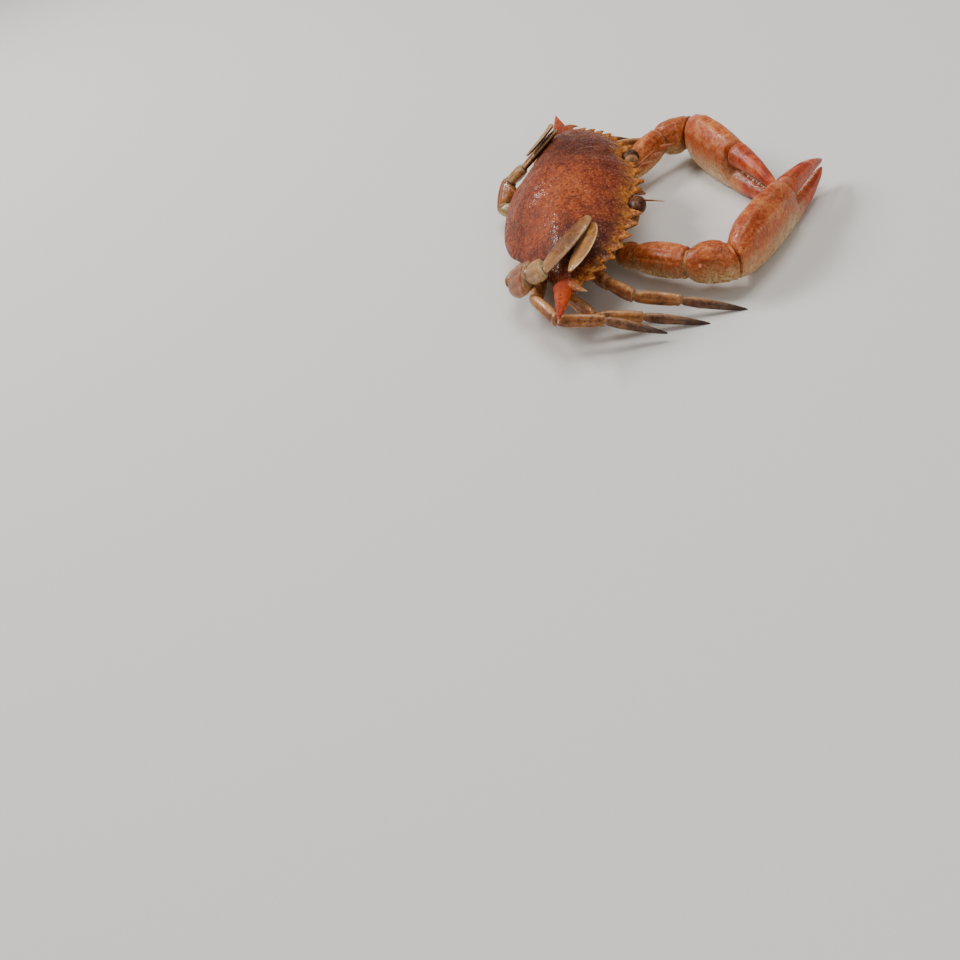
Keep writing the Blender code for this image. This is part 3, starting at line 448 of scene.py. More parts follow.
def shell_form():
    """Points, faces and colour marks of the whole carapace."""
    outline, edge, spine_mark = shell_outlines()
    count = len(outline)
    centre = np.array(SHELL_CENTRE)
    start = centre + (outline - centre) * INNER_SHARE
    rings, shares, spines = [], [], []
    for k in range(1, DOME_RINGS + 1):
        share = INNER_SHARE * math.sin(0.5 * math.pi * k / DOME_RINGS) ** 0.9
        rings.append(centre + (outline - centre) * share)
        shares.append(np.full(count, share))
        spines.append(np.zeros(count))
    for k in range(1, TEETH_RINGS + 1):
        part = k / TEETH_RINGS
        ring = start + (edge - start) * part
        rings.append(ring)
        outwards = np.linalg.norm(ring - start, axis=1) / np.linalg.norm(outline - centre, axis=1)
        shares.append(np.minimum(1.0, INNER_SHARE + outwards))
        spines.append(spine_mark * part)
    flat, share, spine = np.concatenate(rings), np.concatenate(shares), np.concatenate(spines)
    rim_distance = np.full(len(flat), 1e9)
    near_edge = share > 0.80
    rim_distance[near_edge] = distance_to_line(flat[near_edge], np.concatenate([edge, edge[:1]]))
    x, y = flat.T
    past = np.clip(np.abs(x) - SPINE_FROM, 0.0, SPINE_LENGTH)
    on_spine = step_between(past, 0.0, 3.0) * (spine > 0.0)
    margin = shell_margin(x, y) * (1.0 - on_spine) + SPINE_LEVEL * on_spine
    local_half = SPINE_HALF_WIDTH * (1.0 - past / SPINE_LENGTH) + 0.05
    reach = EDGE_ROLL + (local_half - EDGE_ROLL) * on_spine
    ratio = 0.42 + 0.20 * on_spine
    depth = np.minimum(rim_distance, reach)
    thick = ratio * np.sqrt(np.maximum(depth * (2.0 * reach - depth), 0.0))
    swelling = spots_at(x, y, MIDDLE_SWELLINGS)
    for side in SIDES.values():
        swelling += spots_at(side * x, y, SIDE_SWELLINGS)
    dome = CROWN * (1.0 - share ** 2.3) + (1.0 - share ** 4) * swelling
    relief = np.zeros(len(flat))
    beads = 0.7 + 0.3 * np.sin(x * 4.2 + y * 2.3)
    for line, height, width in SHELL_RIDGES:
        relief += height * near_line(flat, line, width) * beads
    for line, deep, width in SHELL_GROOVES:
        relief -= deep * near_line(flat, line, width)
    fringe = np.minimum(rim_distance / 1.5, 1.0)
    top = np.stack([x, y, margin + thick + dome + relief * fringe], axis=1)
    uneven = sum(height * roughness_field(top, size, seed)
                 for height, size, seed in ((0.22, 6.5, 2.0), (0.13, 2.4, 5.0), (0.10, 1.1, 8.0)))
    top[:, 2] += uneven * fringe * (1.0 - 0.6 * on_spine)
    crown = [*SHELL_CENTRE, top[:count, 2].mean()]
    keel = np.exp(-((y - SPINE_FOOT[1] + 0.04 * past) / (0.45 * local_half)) ** 2) * on_spine
    top[:, 2] += SPINE_KEEL * keel * (1.0 - past / SPINE_LENGTH)
    ring_bottom = (margin - thick).reshape(-1, count)
    bottoms, under_shares = [], []
    for k in range(len(rings) - 2, DOME_RINGS - 1, -1):
        bottoms.append(np.column_stack([rings[k], folded_under(ring_bottom[k], shares[k], rings[k][:, 1])]))
        under_shares.append(shares[k])
    for value in UNDER_SHARES:
        ring = centre + (outline - centre) * value
        bottoms.append(np.column_stack([ring, folded_under(shell_margin(*ring.T) - 0.9, value, ring[:, 1])]))
        under_shares.append(np.full(count, value))
    under_share = np.concatenate(under_shares)
    points = np.concatenate([top, *bottoms, [crown, [*SHELL_CENTRE, ROOF_LEVEL - 0.1]]])
    rest = np.zeros(len(points) - len(top))
    # Tone: the shell's own colour, with painted light over the middle, painted shade on the far left and the
    # front right, and darker towards the front edge.
    tone = 0.19 + spots_at(x, y, TONE_SPOTS) - 0.08 * step_between(y, 8.0, 22.0)
    rim_width = 5.5 - 1.9 * step_between(np.abs(x), 24.0, 44.0)
    rim = np.clip(1.0 - rim_distance / rim_width, 0.0, 1.0) * step_between(y, -4.0, 3.0)
    outwards = np.abs(points[:, 0])
    along_spine = step_between(outwards, 54.5, 63.0) * np.clip((outwards - 56.0) / 27.0, 0.0, 1.0)
    along_spine *= step_between(-points[:, 1], -2.2, -0.6)
    clear = np.concatenate([spine > 0.02, under_share > 0.96, [False, False]])
    below = np.concatenate([np.zeros(len(top)), step_between(-under_share, -0.99, -0.93), [0.0, 1.0]])
    marks = {"tone": np.concatenate([tone, rest + 0.2]), "rim": np.concatenate([rim, rest]),
             "spine": along_spine * clear, "under": below,
             "soaked": spots_at(points[:, 0], points[:, 1], WET_SPOTS) * (1.0 - below)}
    return points, tube_faces(len(rings) + len(bottoms), count), marks


def last_tooth(side):
    """The tooth beside the spine: a bent cone with a pale tip."""
    count = LAST_TOOTH_RINGS
    line = mirrored(curve_through(LAST_TOOTH_LINE, count), side)
    up = np.array((0.0, 0.0, LAST_TOOTH_FLATNESS))
    angles = 2.0 * np.pi * np.arange(count)[:, None] / count
    rings = []
    for k, centre in enumerate(line):
        across = unit(np.cross(line[min(k + 1, count - 1)] - line[max(k - 1, 0)], UPWARDS))
        half = 0.5 * LAST_TOOTH_WIDTH * (1.0 - k / (count - 0.7)) ** 0.75
        rings.append(centre + half * (np.cos(angles) * across + np.sin(angles) * up))
    share = np.repeat(np.linspace(0.0, 1.0, count), count)
    pale = np.concatenate([0.9 * share ** 3, [0.0, 0.9]])
    warm = np.concatenate([0.10 + 0.75 * share, [0.10, 0.85]])
    marks = {"under": pale, "rim": warm, "tone": 0.2}
    return np.concatenate(rings + [line[:1], line[-1:]]), tube_faces(count, count), marks


forms = [shell_form()]
forms += [eye_ledge(side) for side in SIDES.values()]
forms += [last_tooth(side) for side in SIDES.values()]
new_piece("back_shell", forms, cooked_back_shell(), "carapace")

# The eyes: short stalked domes set in notches under the front edge, dark brown and clouded by
# the cooking, each in a paler collar of shell. They are part of the head, held by soft skin.
EYE_CENTRE = (19.4, 26.6, 22.6)
EYE_RADII = (4.7, 3.3, 3.0)


def clouded_eye():
    """Cooked crab eye: dull dark brown cornea, clouded, with a tan collar towards the stalk."""
    material, tree = start_material("clouded_eye")
    place = add(tree, "TexCoord", None, "Object")
    cloud = add(tree, "TexNoise", {"Vector": place, "Scale": 1000.0 / 2.0, "Detail": 5.0, "Roughness": 0.7})
    dark = add(tree, "ValToRGB", {"Fac": cloud}, stops=[(0.36, "1f0f0a"), (0.50, "4a2818"), (0.64, "7d4a2c")])
    band = add(tree, "ValToRGB", {"Fac": cloud}, stops=[(0.36, "8a5a34"), (0.64, "c08f5c")])
    collar = add(tree, "Attribute", None, "Fac", attribute_name="collar")
    facets = add(tree, "TexVoronoi", {"Vector": place, "Scale": 1000.0 / 0.25})
    colour = paint_over(tree, dark, (collar, band))
    finish_shell(tree, colour, 0.36, 0.62, [(facets, 0.3, 0.03), (cloud, 0.5, 0.12)], 0.10, place)
    return material


eye_material = clouded_eye()
for label, side in SIDES.items():
    points, faces, local = ellipsoid_form(mirrored(EYE_CENTRE, side), EYE_RADII)
    outward = side * local[:, 0]
    waist = 1.0 - 0.10 * np.exp(-((outward + 0.30) / 0.10) ** 2)
    points[:, 1:] = EYE_CENTRE[1:] + (points[:, 1:] - EYE_CENTRE[1:]) * waist[:, None]
    collar = np.clip((-outward - 0.50) / 0.12, 0.0, 0.8)
    new_piece(f"eye_dome_{label}", [(points, faces, {"collar": collar})], eye_material, f"eye_{label}")

# The walking legs: three pairs of jointed tubes, flattened, with long grooves in their sides and
# a flared rim at each joint. Olive and tan turned orange by cooking, held by thin joint skin.
WALKING_JOINTS = {
    "leg_2": [(30.5, 4.5, 7.2), (50.0, 12.0, 12.0), (60.0, 20.5, 10.6), (62.5, 36.0, 6.4), (67.0, 57.0, 0.0)],
    "leg_3": [(31.0, -5.0, 7.2), (55.0, -1.5, 11.8), (65.4, 6.0, 9.4), (66.5, 22.5, 5.8), (70.5, 44.0, 0.0)],
    "leg_4": [(29.5, -13.4, 7.4), (57.5, -13.6, 16.6), (70.2, -6.0, 14.4), (71.6, 10.0, 11.2),
              (75.0, 29.5, 3.0)],
}
LEG_SIZES = {"merus": (6.8, 4.6), "carpus": (5.6, 4.4), "propodus": (5.0, 3.7), "dactyl": (4.0, 3.0)}
LEG_PROFILES = {
    "merus": [(0.0, 0.70, 0.74), (0.14, 0.88, 0.92), (0.45, 1.0, 1.0), (0.80, 0.98, 0.98), (1.0, 0.84, 0.88)],
    "carpus": [(0.0, 0.62, 0.68), (0.14, 0.84, 0.9), (0.5, 1.0, 1.0), (0.80, 1.0, 1.0), (1.0, 0.82, 0.88)],
    "propodus": [(0.0, 0.74, 0.80), (0.25, 1.0, 1.0), (0.75, 0.96, 0.96), (1.0, 0.80, 0.86)],
    "dactyl": [(0.0, 0.80, 0.84), (0.25, 1.0, 1.0), (0.6, 0.74, 0.76), (0.86, 0.42, 0.44), (1.0, 0.14, 0.18)],
}
JOINT_GAP = 0.3


def joint_planes(joints):
    """At each joint, the direction that halves the bend between its two pieces."""
    ways = [unit(b - a) for a, b in zip(joints, joints[1:])]
    return [ways[0]] + [unit(a + b) for a, b in zip(ways, ways[1:])] + [ways[-1]]


def smooth_profile(profile, shares, reach, first=0.0, last=1.0):
    """Profile values read between their stations without a corner, each over a short reach."""
    stations, *columns = np.array(profile).T
    spread = np.linspace(-reach, reach, 5)
    return [sum(np.interp(np.clip(shares + d, first, last), stations, column) for d in spread) / 5.0
            for column in columns]


def squared_circle(sides, power):
    """Angles round a ring, with the cosine and sine of its squared or pointed circle."""
    angles = 2.0 * np.pi * (np.arange(sides) + 0.5) / sides
    cosine, sine = np.cos(angles), np.sin(angles)
    return angles, np.sign(cosine) * np.abs(cosine) ** power, np.sign(sine) * np.abs(sine) ** power


def rounding(share):
    """Height of a quarter circle, 0 at its foot and 1 from there on."""
    return math.sqrt(max(0.0, 1.0 - (1.0 - min(share, 1.0)) ** 2))


def closed_tube(rings, marks):
    """Rings of points and their marks as one form, closed with a point at each end."""
    points = np.concatenate(rings + [[rings[0].mean(0)], [rings[-1].mean(0)]])
    marks = {name: np.concatenate(values + [[values[0].mean(), values[-1].mean()]])
             for name, values in marks.items()}
    return points, tube_faces(len(rings), len(rings[0])), marks


def limb_form(start, end, profile, broad, thin, hint, first_way=None, last_way=None, control=None,
              *, relief, count=56, sides=36, blunt=0.06, squareness=2.0):
    """One limb piece: points, faces, and marks for the way along, the edge and the grooves."""
    start, end, hint = np.array(start, float), np.array(end, float), np.array(hint, float)
    control = 0.5 * (start + end) if control is None else control
    shares = 0.5 - 0.5 * np.cos(np.pi * np.linspace(0.0, 1.0, count))
    broads, thins = smooth_profile(profile, shares, 0.06)
    angles, cosine, sine = squared_circle(sides, 2.0 / squareness)
    rings, marks = [], {"along": [], "edge": [], "low": []}
    for share, wide, deep in zip(shares, broads, thins):
        a = start + (control - start) * share
        b = control + (end - control) * share
        centre = a + (b - a) * share
        tangent = unit((control - start) * (1.0 - share) + (end - control) * share)
        normal = tangent
        if share < 0.5 and first_way is not None:
            normal = unit(tangent * 2.0 * share + first_way * (1.0 - 2.0 * share))
        if share > 0.5 and last_way is not None:
            normal = unit(tangent * (2.0 - 2.0 * share) + last_way * (2.0 * share - 1.0))
        across = unit(hint - tangent * (hint @ tangent))
        other = np.cross(tangent, across)
        round_end = 0.62 + 0.38 * rounding(min(share, 1.0 - share) / blunt)
        lift = relief(share, angles)
        half_broad = 0.5 * broad * wide * round_end + lift
        half_thin = 0.5 * thin * deep * round_end + lift
        offset = across * (half_broad * cosine)[:, None] + other * (half_thin * sine)[:, None]
        slant = (offset @ normal) / (tangent @ normal)
        ring = centre + offset - tangent * slant[:, None]
        ring[:, 2] = np.maximum(ring[:, 2], 0.0)
        rings.append(ring)
        marks["along"].append(np.full(sides, share))
        marks["edge"].append(np.abs(cosine))
        # How deep the relief sinks here; the limb material darkens it as painted shade.
        marks["low"].append(np.clip(-lift / (0.04 * broad), 0.0, 1.0))
    return closed_tube(rings, marks)


def joint_skin(joint, way, size):
    """The soft ball of skin and hinge that fills the gap at a joint."""
    across = unit(np.cross(way, UPWARDS))
    radii = (0.36 * size, 0.40 * size, 0.40 * size)
    points, faces, _ = ellipsoid_form(joint, radii, (way, across, np.cross(way, across)), 16, 24)
    return points, faces, {"along": 0.5, "height": 0.4, "skin": 1.0}


def bump_of(angles, at, width):
    """Rounded rise at one angle round a limb."""
    gap = np.abs(np.angle(np.exp(1j * (angles - at))))
    return np.exp(-(gap / width) ** 2)


def leg_relief(kind, size, beaded=0.0):
    """Grooves along the flat sides, a crest on the edges and a flared rim at the far joint."""
    def relief(share, angles):
        lift = np.zeros(len(angles))
        middle = math.sin(math.pi * share) ** 0.6
        for at in (0.5 * math.pi, -0.5 * math.pi):
            lift -= 0.055 * size * middle * bump_of(angles, at - 0.42, 0.17)
            lift -= 0.055 * size * middle * bump_of(angles, at + 0.42, 0.17)
            lift += 0.020 * size * middle * bump_of(angles, at, 0.18)
        lift += 0.030 * size * middle * (bump_of(angles, 0.0, 0.16) + bump_of(angles, math.pi, 0.16))
        if kind != "dactyl":
            lift += 0.028 * size * math.exp(-((share - 0.95) / 0.030) ** 2)
            lift -= 0.018 * size * math.exp(-((share - 0.88) / 0.05) ** 2)
        if beaded:
            for at in BEADED_ROWS:
                beads = 0.5 + 0.5 * math.cos(2.0 * math.pi * share * 15.0 + 2.0 * at)
                lift += beaded * middle * bump_of(angles, at, 0.11) * (0.35 + 0.65 * beads)
                lift -= 0.5 * beaded * middle * bump_of(angles, at + 0.30, 0.16)
        return lift
    return relief


def cooked_limb(name, dark, middle, light, rim_colour, end_colour, tip_colour=None):
    """Boiled limb shell: olive and tan turned to orange brown, paler along its edges and at the joints,
    darkened in the grooves with painted shade, freckled, with the damp gloss of the rest."""
    material, tree = start_material(name)
    place = add(tree, "TexCoord", None, "Object")
    along, edge, low, skin = (add(tree, "Attribute", None, "Fac", attribute_name=mark)
                              for mark in ("along", "edge", "low", "skin"))
    cloud, fine = (
        add(tree, "TexNoise", {"Vector": place, "Scale": 1000.0 / size, "Detail": detail, "Roughness": rough,
                               "Distortion": twist})
        for size, detail, rough, twist in ((6.5, 7.0, 0.7, 0.4), (1.3, 5.0, 0.75, 0.0)))
    base = add(tree, "ValToRGB", {"Fac": cloud}, stops=[(0.38, dark), (0.50, middle), (0.62, light)])
    speckle = add(tree, "ValToRGB", {"Fac": fine}, stops=[(0.40, dark), (0.50, middle), (0.60, light)])
    outer = add(tree, "ValToRGB", {"Fac": edge}, stops=[(0.88, 0.0), (0.985, 0.85)])
    patchy = add(tree, "ValToRGB", {"Fac": fine}, stops=[(0.38, 0.35), (0.56, 1.0)])
    rim = add(tree, "Math", {0: outer, 1: patchy}, operation="MULTIPLY")
    near_joint = add(tree, "ValToRGB", {"Fac": along}, stops=[
        (0.0, 0.8), (0.04, 0.3), (0.12, 0.0), (0.90, 0.0), (0.96, 0.3), (1.0, 0.8)])
    # Painted shade where the relief sinks in: grooves, the dip behind each joint rim, the notches of the
    # feelers and the joints of the plates.
    shaded = add(tree, "ValToRGB", {"Fac": low}, stops=[(0.1, 0.0), (1.0, 0.36)])
    grain = add(tree, "TexVoronoi", {"Vector": place, "Scale": 1000.0 / 0.8})
    dots = add(tree, "ValToRGB", {"Fac": grain}, stops=[(0.14, 0.30), (0.30, 0.0)])
    specks = dark_specks(tree, place, 2.4, 0.10, 0.40)
    membrane = add(tree, "ValToRGB", {"Fac": fine}, stops=[(0.38, "5f3d26"), (0.62, "a77f55")])
    colour = paint_over(tree, base, (0.32, speckle), (rim, rim_colour), (near_joint, end_colour),
                        (shaded, "2e170d"))
    if tip_colour is not None:
        towards_tip = add(tree, "ValToRGB", {"Fac": along}, stops=[(0.30, 0.0), (0.85, 0.9)])
        colour = paint_over(tree, colour, (towards_tip, tip_colour))
    colour = paint_over(tree, colour, (dots, dark), (specks, "25120a"), (skin, membrane))
    bumps = [(grain, 0.35, 0.05), (cloud, 0.3, 0.12), (fine, 0.4, 0.07), (specks, 0.5, 0.1)]
    finish_shell(tree, colour, 0.26, 0.52, bumps, 0.70, place)
    return material


# Names and colours: dark, middle and light shell, then its rim and the ends by the joints
leg_material = cooked_limb("cooked_leg_shell", "57301b", "a06032", "c8864a", "d29c66", "a8764a")
leg_tip_material = cooked_limb("cooked_leg_tip", "452a20", "7c5139", "a5734c", "b4845a", "97694a",
                               tip_colour="33221b")


def limb_ends(joints, planes, k):
    """Ends of piece k, each half a gap back from the plane of its joint."""
    way = unit(joints[k + 1] - joints[k])
    first = 0.5 * JOINT_GAP / max(way @ planes[k], 0.4)
    last = 0.0 if k + 2 == len(joints) else 0.5 * JOINT_GAP / max(way @ planes[k + 1], 0.4)
    return joints[k] + way * first, joints[k + 1] - way * last


for leg, right_joints in WALKING_JOINTS.items():
    for label, side in SIDES.items():
        joints = mirrored(right_joints, side)
        planes = joint_planes(joints)
        for k, kind in enumerate(("merus", "carpus", "propodus", "dactyl")):
            start, end = limb_ends(joints, planes, k)
            broad, thin = LEG_SIZES[kind]
            forms = [limb_form(start, end, LEG_PROFILES[kind], broad, thin, UPWARDS, planes[k],
                               planes[k + 1], relief=leg_relief(kind, broad), squareness=2.2),
                     joint_skin(joints[k], planes[k], thin)]
            material = leg_tip_material if kind == "dactyl" else leg_material
            new_piece(f"{leg}_{kind}_shell_{label}", forms, material, f"{leg}_{kind}_{label}")

# The swimming legs: the last pair, folded up over the rear of the back shell, with a broad thigh,
# a flat hand and an oval paddle as thin as card. Orange thigh, greenish wrist, tan blade with a
# pale rim; moulded by the animal in one piece each and joined by skin.
SWIM_JOINTS = {
    1: [(23.5, -21.8, 8.4), (36.8, -23.3, 13.9), (48.8, -14.3, 22.0), (57.0, -7.4, 27.8),
        (40.7, 10.2, 34.2)],
    -1: [(23.5, -21.8, 8.4), (30.0, -29.5, 10.0), (37.0, -25.2, 17.4), (34.6, -17.6, 23.2),
         (43.0, -1.8, 31.4)],
}
PADDLE_LINES = {
    1: [(41.9, 10.8, 31.7), (52.8, 8.6, 30.8), (61.6, 1.3, 27.0)],
    -1: [(43.6, -3.2, 33.8), (38.0, -6.8, 32.2), (29.0, -14.2, 30.6)],
}
SWIM_SIZES = {"ischium": (7.6, 6.4), "merus": (12.0, 5.4), "carpus": (8.4, 5.0), "propodus": (8.6, 3.0),
              "paddle": (9.8, 1.5)}
SWIM_HINTS = {
    1: [(0.3, 0.2, 1.0)] + 2 * [(0.69, -0.18, -0.70)] + [(0.73, 0.65, 0.11), (0.55, 0.75, 0.36)],
    -1: [(1.0, 0.2, 0.3), (1.0, -0.2, 0.3)] + 3 * [(0.75, -0.40, -0.55)],
}
SWIM_PROFILES = {
    "ischium": LEG_PROFILES["merus"],
    "merus": LEG_PROFILES["merus"],
    "carpus": LEG_PROFILES["merus"],
    "propodus": [(0.0, 0.62, 0.9), (0.18, 0.86, 1.0), (0.5, 1.0, 1.0), (0.82, 0.86, 0.9), (1.0, 0.42, 0.7)],
    "paddle": [(0.0, 0.34, 1.5), (0.12, 0.62, 1.3), (0.35, 0.96, 1.1), (0.6, 1.0, 1.0), (0.82, 0.76, 0.9),
               (0.95, 0.40, 0.8), (1.0, 0.14, 0.7)],
}
MERUS_LOBE = 2.4


def flat_relief(size):
    """A low rib down the middle of each flat side and a shallow dish on both sides of it."""
    def relief(share, angles):
        middle = math.sin(math.pi * share) ** 0.5
        rib = bump_of(angles, 0.5 * math.pi, 0.22) + bump_of(angles, -0.5 * math.pi, 0.22)
        dish = sum(bump_of(angles, at, 0.5) for at in (0.9, math.pi - 0.9, -0.9, 0.9 - math.pi))
        return 0.018 * size * middle * rib - 0.020 * size * middle * dish
    return relief


swim_materials = {
    "ischium": cooked_limb("cooked_swimming_hip", "5f4d30", "8d744a", "b89a68", "cdb283", "c2a878"),
    "merus": cooked_limb("cooked_swimming_thigh", "743616", "8e4819", "a45e26", "ac7840", "96865c"),
    "carpus": cooked_limb("cooked_swimming_wrist", "8c5a30", "a06c38", "b6844a", "b8945e", "a8a47c"),
    "propodus": cooked_limb("cooked_swimming_hand", "553219", "87542b", "a8753f", "cfa878", "b58a58"),
    "paddle": cooked_limb("cooked_paddle", "6b4020", "9a6530", "b98545", "dcbf8c", "ad7a48"),
}
for label, side in SIDES.items():
    joints = mirrored(SWIM_JOINTS[side], side)
    planes = joint_planes(joints)
    for k, kind in enumerate(("ischium", "merus", "carpus", "propodus", "paddle")):
        broad, thin = SWIM_SIZES[kind]
        hint = mirrored(SWIM_HINTS[side][k], side)
        first_way = last_way = control = None
        if kind == "paddle":
            start, control, end = mirrored(PADDLE_LINES[side], side)
        else:
            start, end = limb_ends(joints, planes, k)
            first_way, last_way = planes[k], planes[k + 1]
        if kind == "merus":
            control = 0.5 * (start + end) + unit(hint) * MERUS_LOBE
        flat = kind in ("propodus", "paddle")
        relief = flat_relief(broad) if flat else leg_relief(kind, broad * 0.6)
        forms = [limb_form(start, end, SWIM_PROFILES[kind], broad, thin, hint, first_way, last_way, control,
                           count=64, sides=48, relief=relief, blunt=0.05 if flat else 0.12,
                           squareness=1.8 if flat else 2.0)]
        if kind != "paddle":
            forms.append(joint_skin(joints[k], planes[k], thin * 1.35))
        new_piece(f"swimming_{kind}_shell_{label}", forms, swim_materials[kind],
                  f"swimming_leg_{kind}_{label}")

# The claws: a thick arm of three pieces and a long hand with a fixed and a moving finger. Ridges
# of grains run down the hand; it is orange-red above, cream below and red at the fingers, with
# white biting teeth.
ARM_JOINTS = {
    1: [(27.0, 18.0, 8.4), (33.5, 23.5, 9.8), (50.0, 41.0, 12.4), (53.5, 55.5, 11.4), (-3.8, 95.6, 9.0)],
    -1: [(27.0, 18.0, 8.4), (33.5, 23.0, 9.8), (49.5, 38.5, 12.4), (52.5, 51.5, 11.4), (-12.4, 77.7, 9.0)],
}
ARM_SIZES = {"ischium": (9.6, 8.6), "merus": (12.4, 10.6), "carpus": (14.0, 12.6)}
ARM_PROFILES = {
    "ischium": LEG_PROFILES["merus"],
    "merus": LEG_PROFILES["merus"],
    "carpus": [(0.0, 0.72, 0.72), (0.2, 0.96, 0.96), (0.5, 1.04, 1.08), (0.8, 1.0, 1.0), (1.0, 0.84, 0.8)],
}
BEADED_ROWS = (0.35, 1.25, -0.55, -1.5, 2.3)
BEAD_HEIGHT = 0.32
ARM_INWARD = (-0.72, 0.69, 0.0)
# Piece, share along it, length, width, lean forwards, inwards and upwards
ARM_SPINES = [
    ("merus", 0.30, 3.4, 3.4, 0.9, 1.0, 0.1), ("merus", 0.57, 3.8, 3.4, 0.8, 1.0, 0.1),
    ("merus", 0.84, 4.2, 3.6, 0.7, 1.0, 0.1), ("carpus", 0.52, 2.8, 4.2, 0.6, -1.0, 0.4),
]
PALM_SPINE = (0.10, 3.4, 4.6, 1.0, 0.2, 1.0)
PALM_SPINE_RADIUS = 8.6
# Share along the hand, rise, half height and half thickness
PALM_PROFILE = [
    (0.0, 0.0, 6.4, 4.8), (0.09, 0.3, 9.6, 6.2), (0.19, 0.5, 11.2, 7.0), (0.34, 0.3, 11.7, 7.0),
    (0.47, 0.0, 11.2, 6.5), (0.545, -0.3, 10.2, 5.9), (0.575, -5.2, 5.2, 4.7), (0.70, -5.4, 4.3, 3.9),
    (0.84, -4.6, 3.1, 2.9), (0.95, -3.0, 1.7, 1.7), (1.0, -2.0, 0.5, 0.5),
]
FINGER_PROFILE = [
    (0.585, 5.2, 4.8, 4.5), (0.66, 5.2, 4.3, 3.9), (0.78, 4.6, 3.4, 3.1), (0.89, 3.2, 2.3, 2.2),
    (0.97, 1.7, 1.2, 1.2), (1.0, 1.1, 0.5, 0.5),
]
# Share along the hand, width and height
BITING_TEETH = [
    (0.615, 2.2, 0.7), (0.635, 3.0, 0.9), (0.664, 2.0, 0.6), (0.690, 2.8, 0.8), (0.716, 1.9, 0.6),
    (0.742, 2.9, 0.9), (0.770, 1.8, 0.6), (0.794, 2.4, 0.7), (0.819, 1.7, 0.5), (0.842, 2.2, 0.7),
    (0.865, 1.5, 0.5), (0.886, 1.9, 0.6), (0.908, 1.3, 0.4), (0.930, 1.4, 0.4),
]
TEETH_STAGGER = 0.012
KNUCKLE_SHARE = 0.590
KNUCKLE_RISE = 5.0
KNUCKLE_RADII = (3.0, 4.3, 4.7)
WRIST_BLEND = 0.19
WRIST_SKIN = 9.6
HAND_RIDGES = [
    (0.30, 0.34), (0.95, 0.30), (1.62, 0.24), (-0.30, 0.34), (-0.95, 0.30), (-1.62, 0.24), (3.14, 0.2),
]
HAND_HALF_HEIGHT = 11.7
CONE_RINGS = 14


def cooked_claw(name, top, top_dark, low, finger, finger_from):
    """Boiled claw shell: orange-red pigment over cream, in clouds and fine dots that thin out
    downwards, full red at the fingers, whitish grains on the ridges and a damp gloss."""
    material, tree = start_material(name)
    place = add(tree, "TexCoord", None, "Object")
    along, height, tooth, ridge, skin = (
        add(tree, "Attribute", None, "Fac", attribute_name=mark)
        for mark in ("along", "height", "tooth", "ridge", "skin"))
    cloud, fine = (
        add(tree, "TexNoise", {"Vector": place, "Scale": 1000.0 / size, "Detail": detail, "Roughness": rough,
                               "Distortion": twist})
        for size, detail, rough, twist in ((9.0, 7.0, 0.7, 0.5), (1.2, 5.0, 0.75, 0.0)))
    red = add(tree, "ValToRGB", {"Fac": cloud}, stops=[(0.36, top_dark), (0.50, top), (0.62, "cf8346")])
    dust = add(tree, "ValToRGB", {"Fac": fine}, stops=[(0.38, top_dark), (0.50, top), (0.62, "d29a60")])
    red = paint_over(tree, red, (0.40, dust))
    cream = add(tree, "ValToRGB", {"Fac": fine}, stops=[(0.36, "8d6238"), (0.50, low), (0.64, "dcc59c")])
    level = add(tree, "Math", {0: cloud, 1: 1.1, 2: height}, operation="MULTIPLY_ADD")
    level = add(tree, "Math", {0: fine, 1: 0.6, 2: level}, operation="MULTIPLY_ADD")
    reddened = add(tree, "MapRange", {"Value": level, "From Min": 1.10, "From Max": 1.50})
    finger_tone = add(tree, "ValToRGB", {"Fac": cloud}, stops=[
        (0.36, "7d2414"), (0.50, finger), (0.64, "cf6a40")])
    on_finger = add(tree, "ValToRGB", {"Fac": along}, stops=[
        (finger_from - 0.06, 0.0), (finger_from + 0.12, 0.92)])
    grain = add(tree, "TexVoronoi", {"Vector": place, "Scale": 1000.0 / 1.4})
    dots = add(tree, "ValToRGB", {"Fac": grain}, stops=[(0.12, 0.50), (0.34, 0.0)])
    specks = dark_specks(tree, place, 2.6, 0.10, 0.45)
    membrane = add(tree, "ValToRGB", {"Fac": fine}, stops=[(0.38, "6b3d22"), (0.62, "b98e60")])
    colour = paint_over(
        tree, cream, (reddened, red), (on_finger, finger_tone), (dots, "8d3a1c"), (ridge, "dcb484"),
        (tooth, "e6d3b4"), (specks, "2c130b"), (skin, membrane))
    bumps = [(grain, 0.4, 0.10), (cloud, 0.5, 0.30), (fine, 0.5, 0.12), (specks, 0.5, 0.1)]
    finish_shell(tree, colour, 0.28, 0.60, bumps, 0.30, place)
    return material


arm_material = cooked_claw("cooked_claw_arm", "a84c20", "6b2812", "bd9058", "a5502f", 2.0)
hand_material = cooked_claw("cooked_claw_hand", "b04a22", "7c2e16", "cda878", "b23a20", 0.60)


def ways_along(way):
    """Unit directions along a way, level across it, and up from both."""
    axis = unit(way)
    across = unit(np.cross(axis, UPWARDS))
    return axis, across, np.cross(across, axis)


def cone_form(root, tip, width, count=CONE_RINGS, sides=CONE_RINGS, power=0.9):
    """A tapered spine with a rounded tip: points and faces."""
    _, across, up = ways_along(tip - root)
    angles = 2.0 * np.pi * np.arange(sides)[:, None] / sides
    circle = np.cos(angles) * across + np.sin(angles) * up
    rings = [root + (tip - root) * share + 0.5 * width * (1.0 - share) ** power * circle
             for share in np.linspace(0.0, 0.985, count)]
    return np.concatenate(rings + [[root], [tip]]), tube_faces(count, sides)


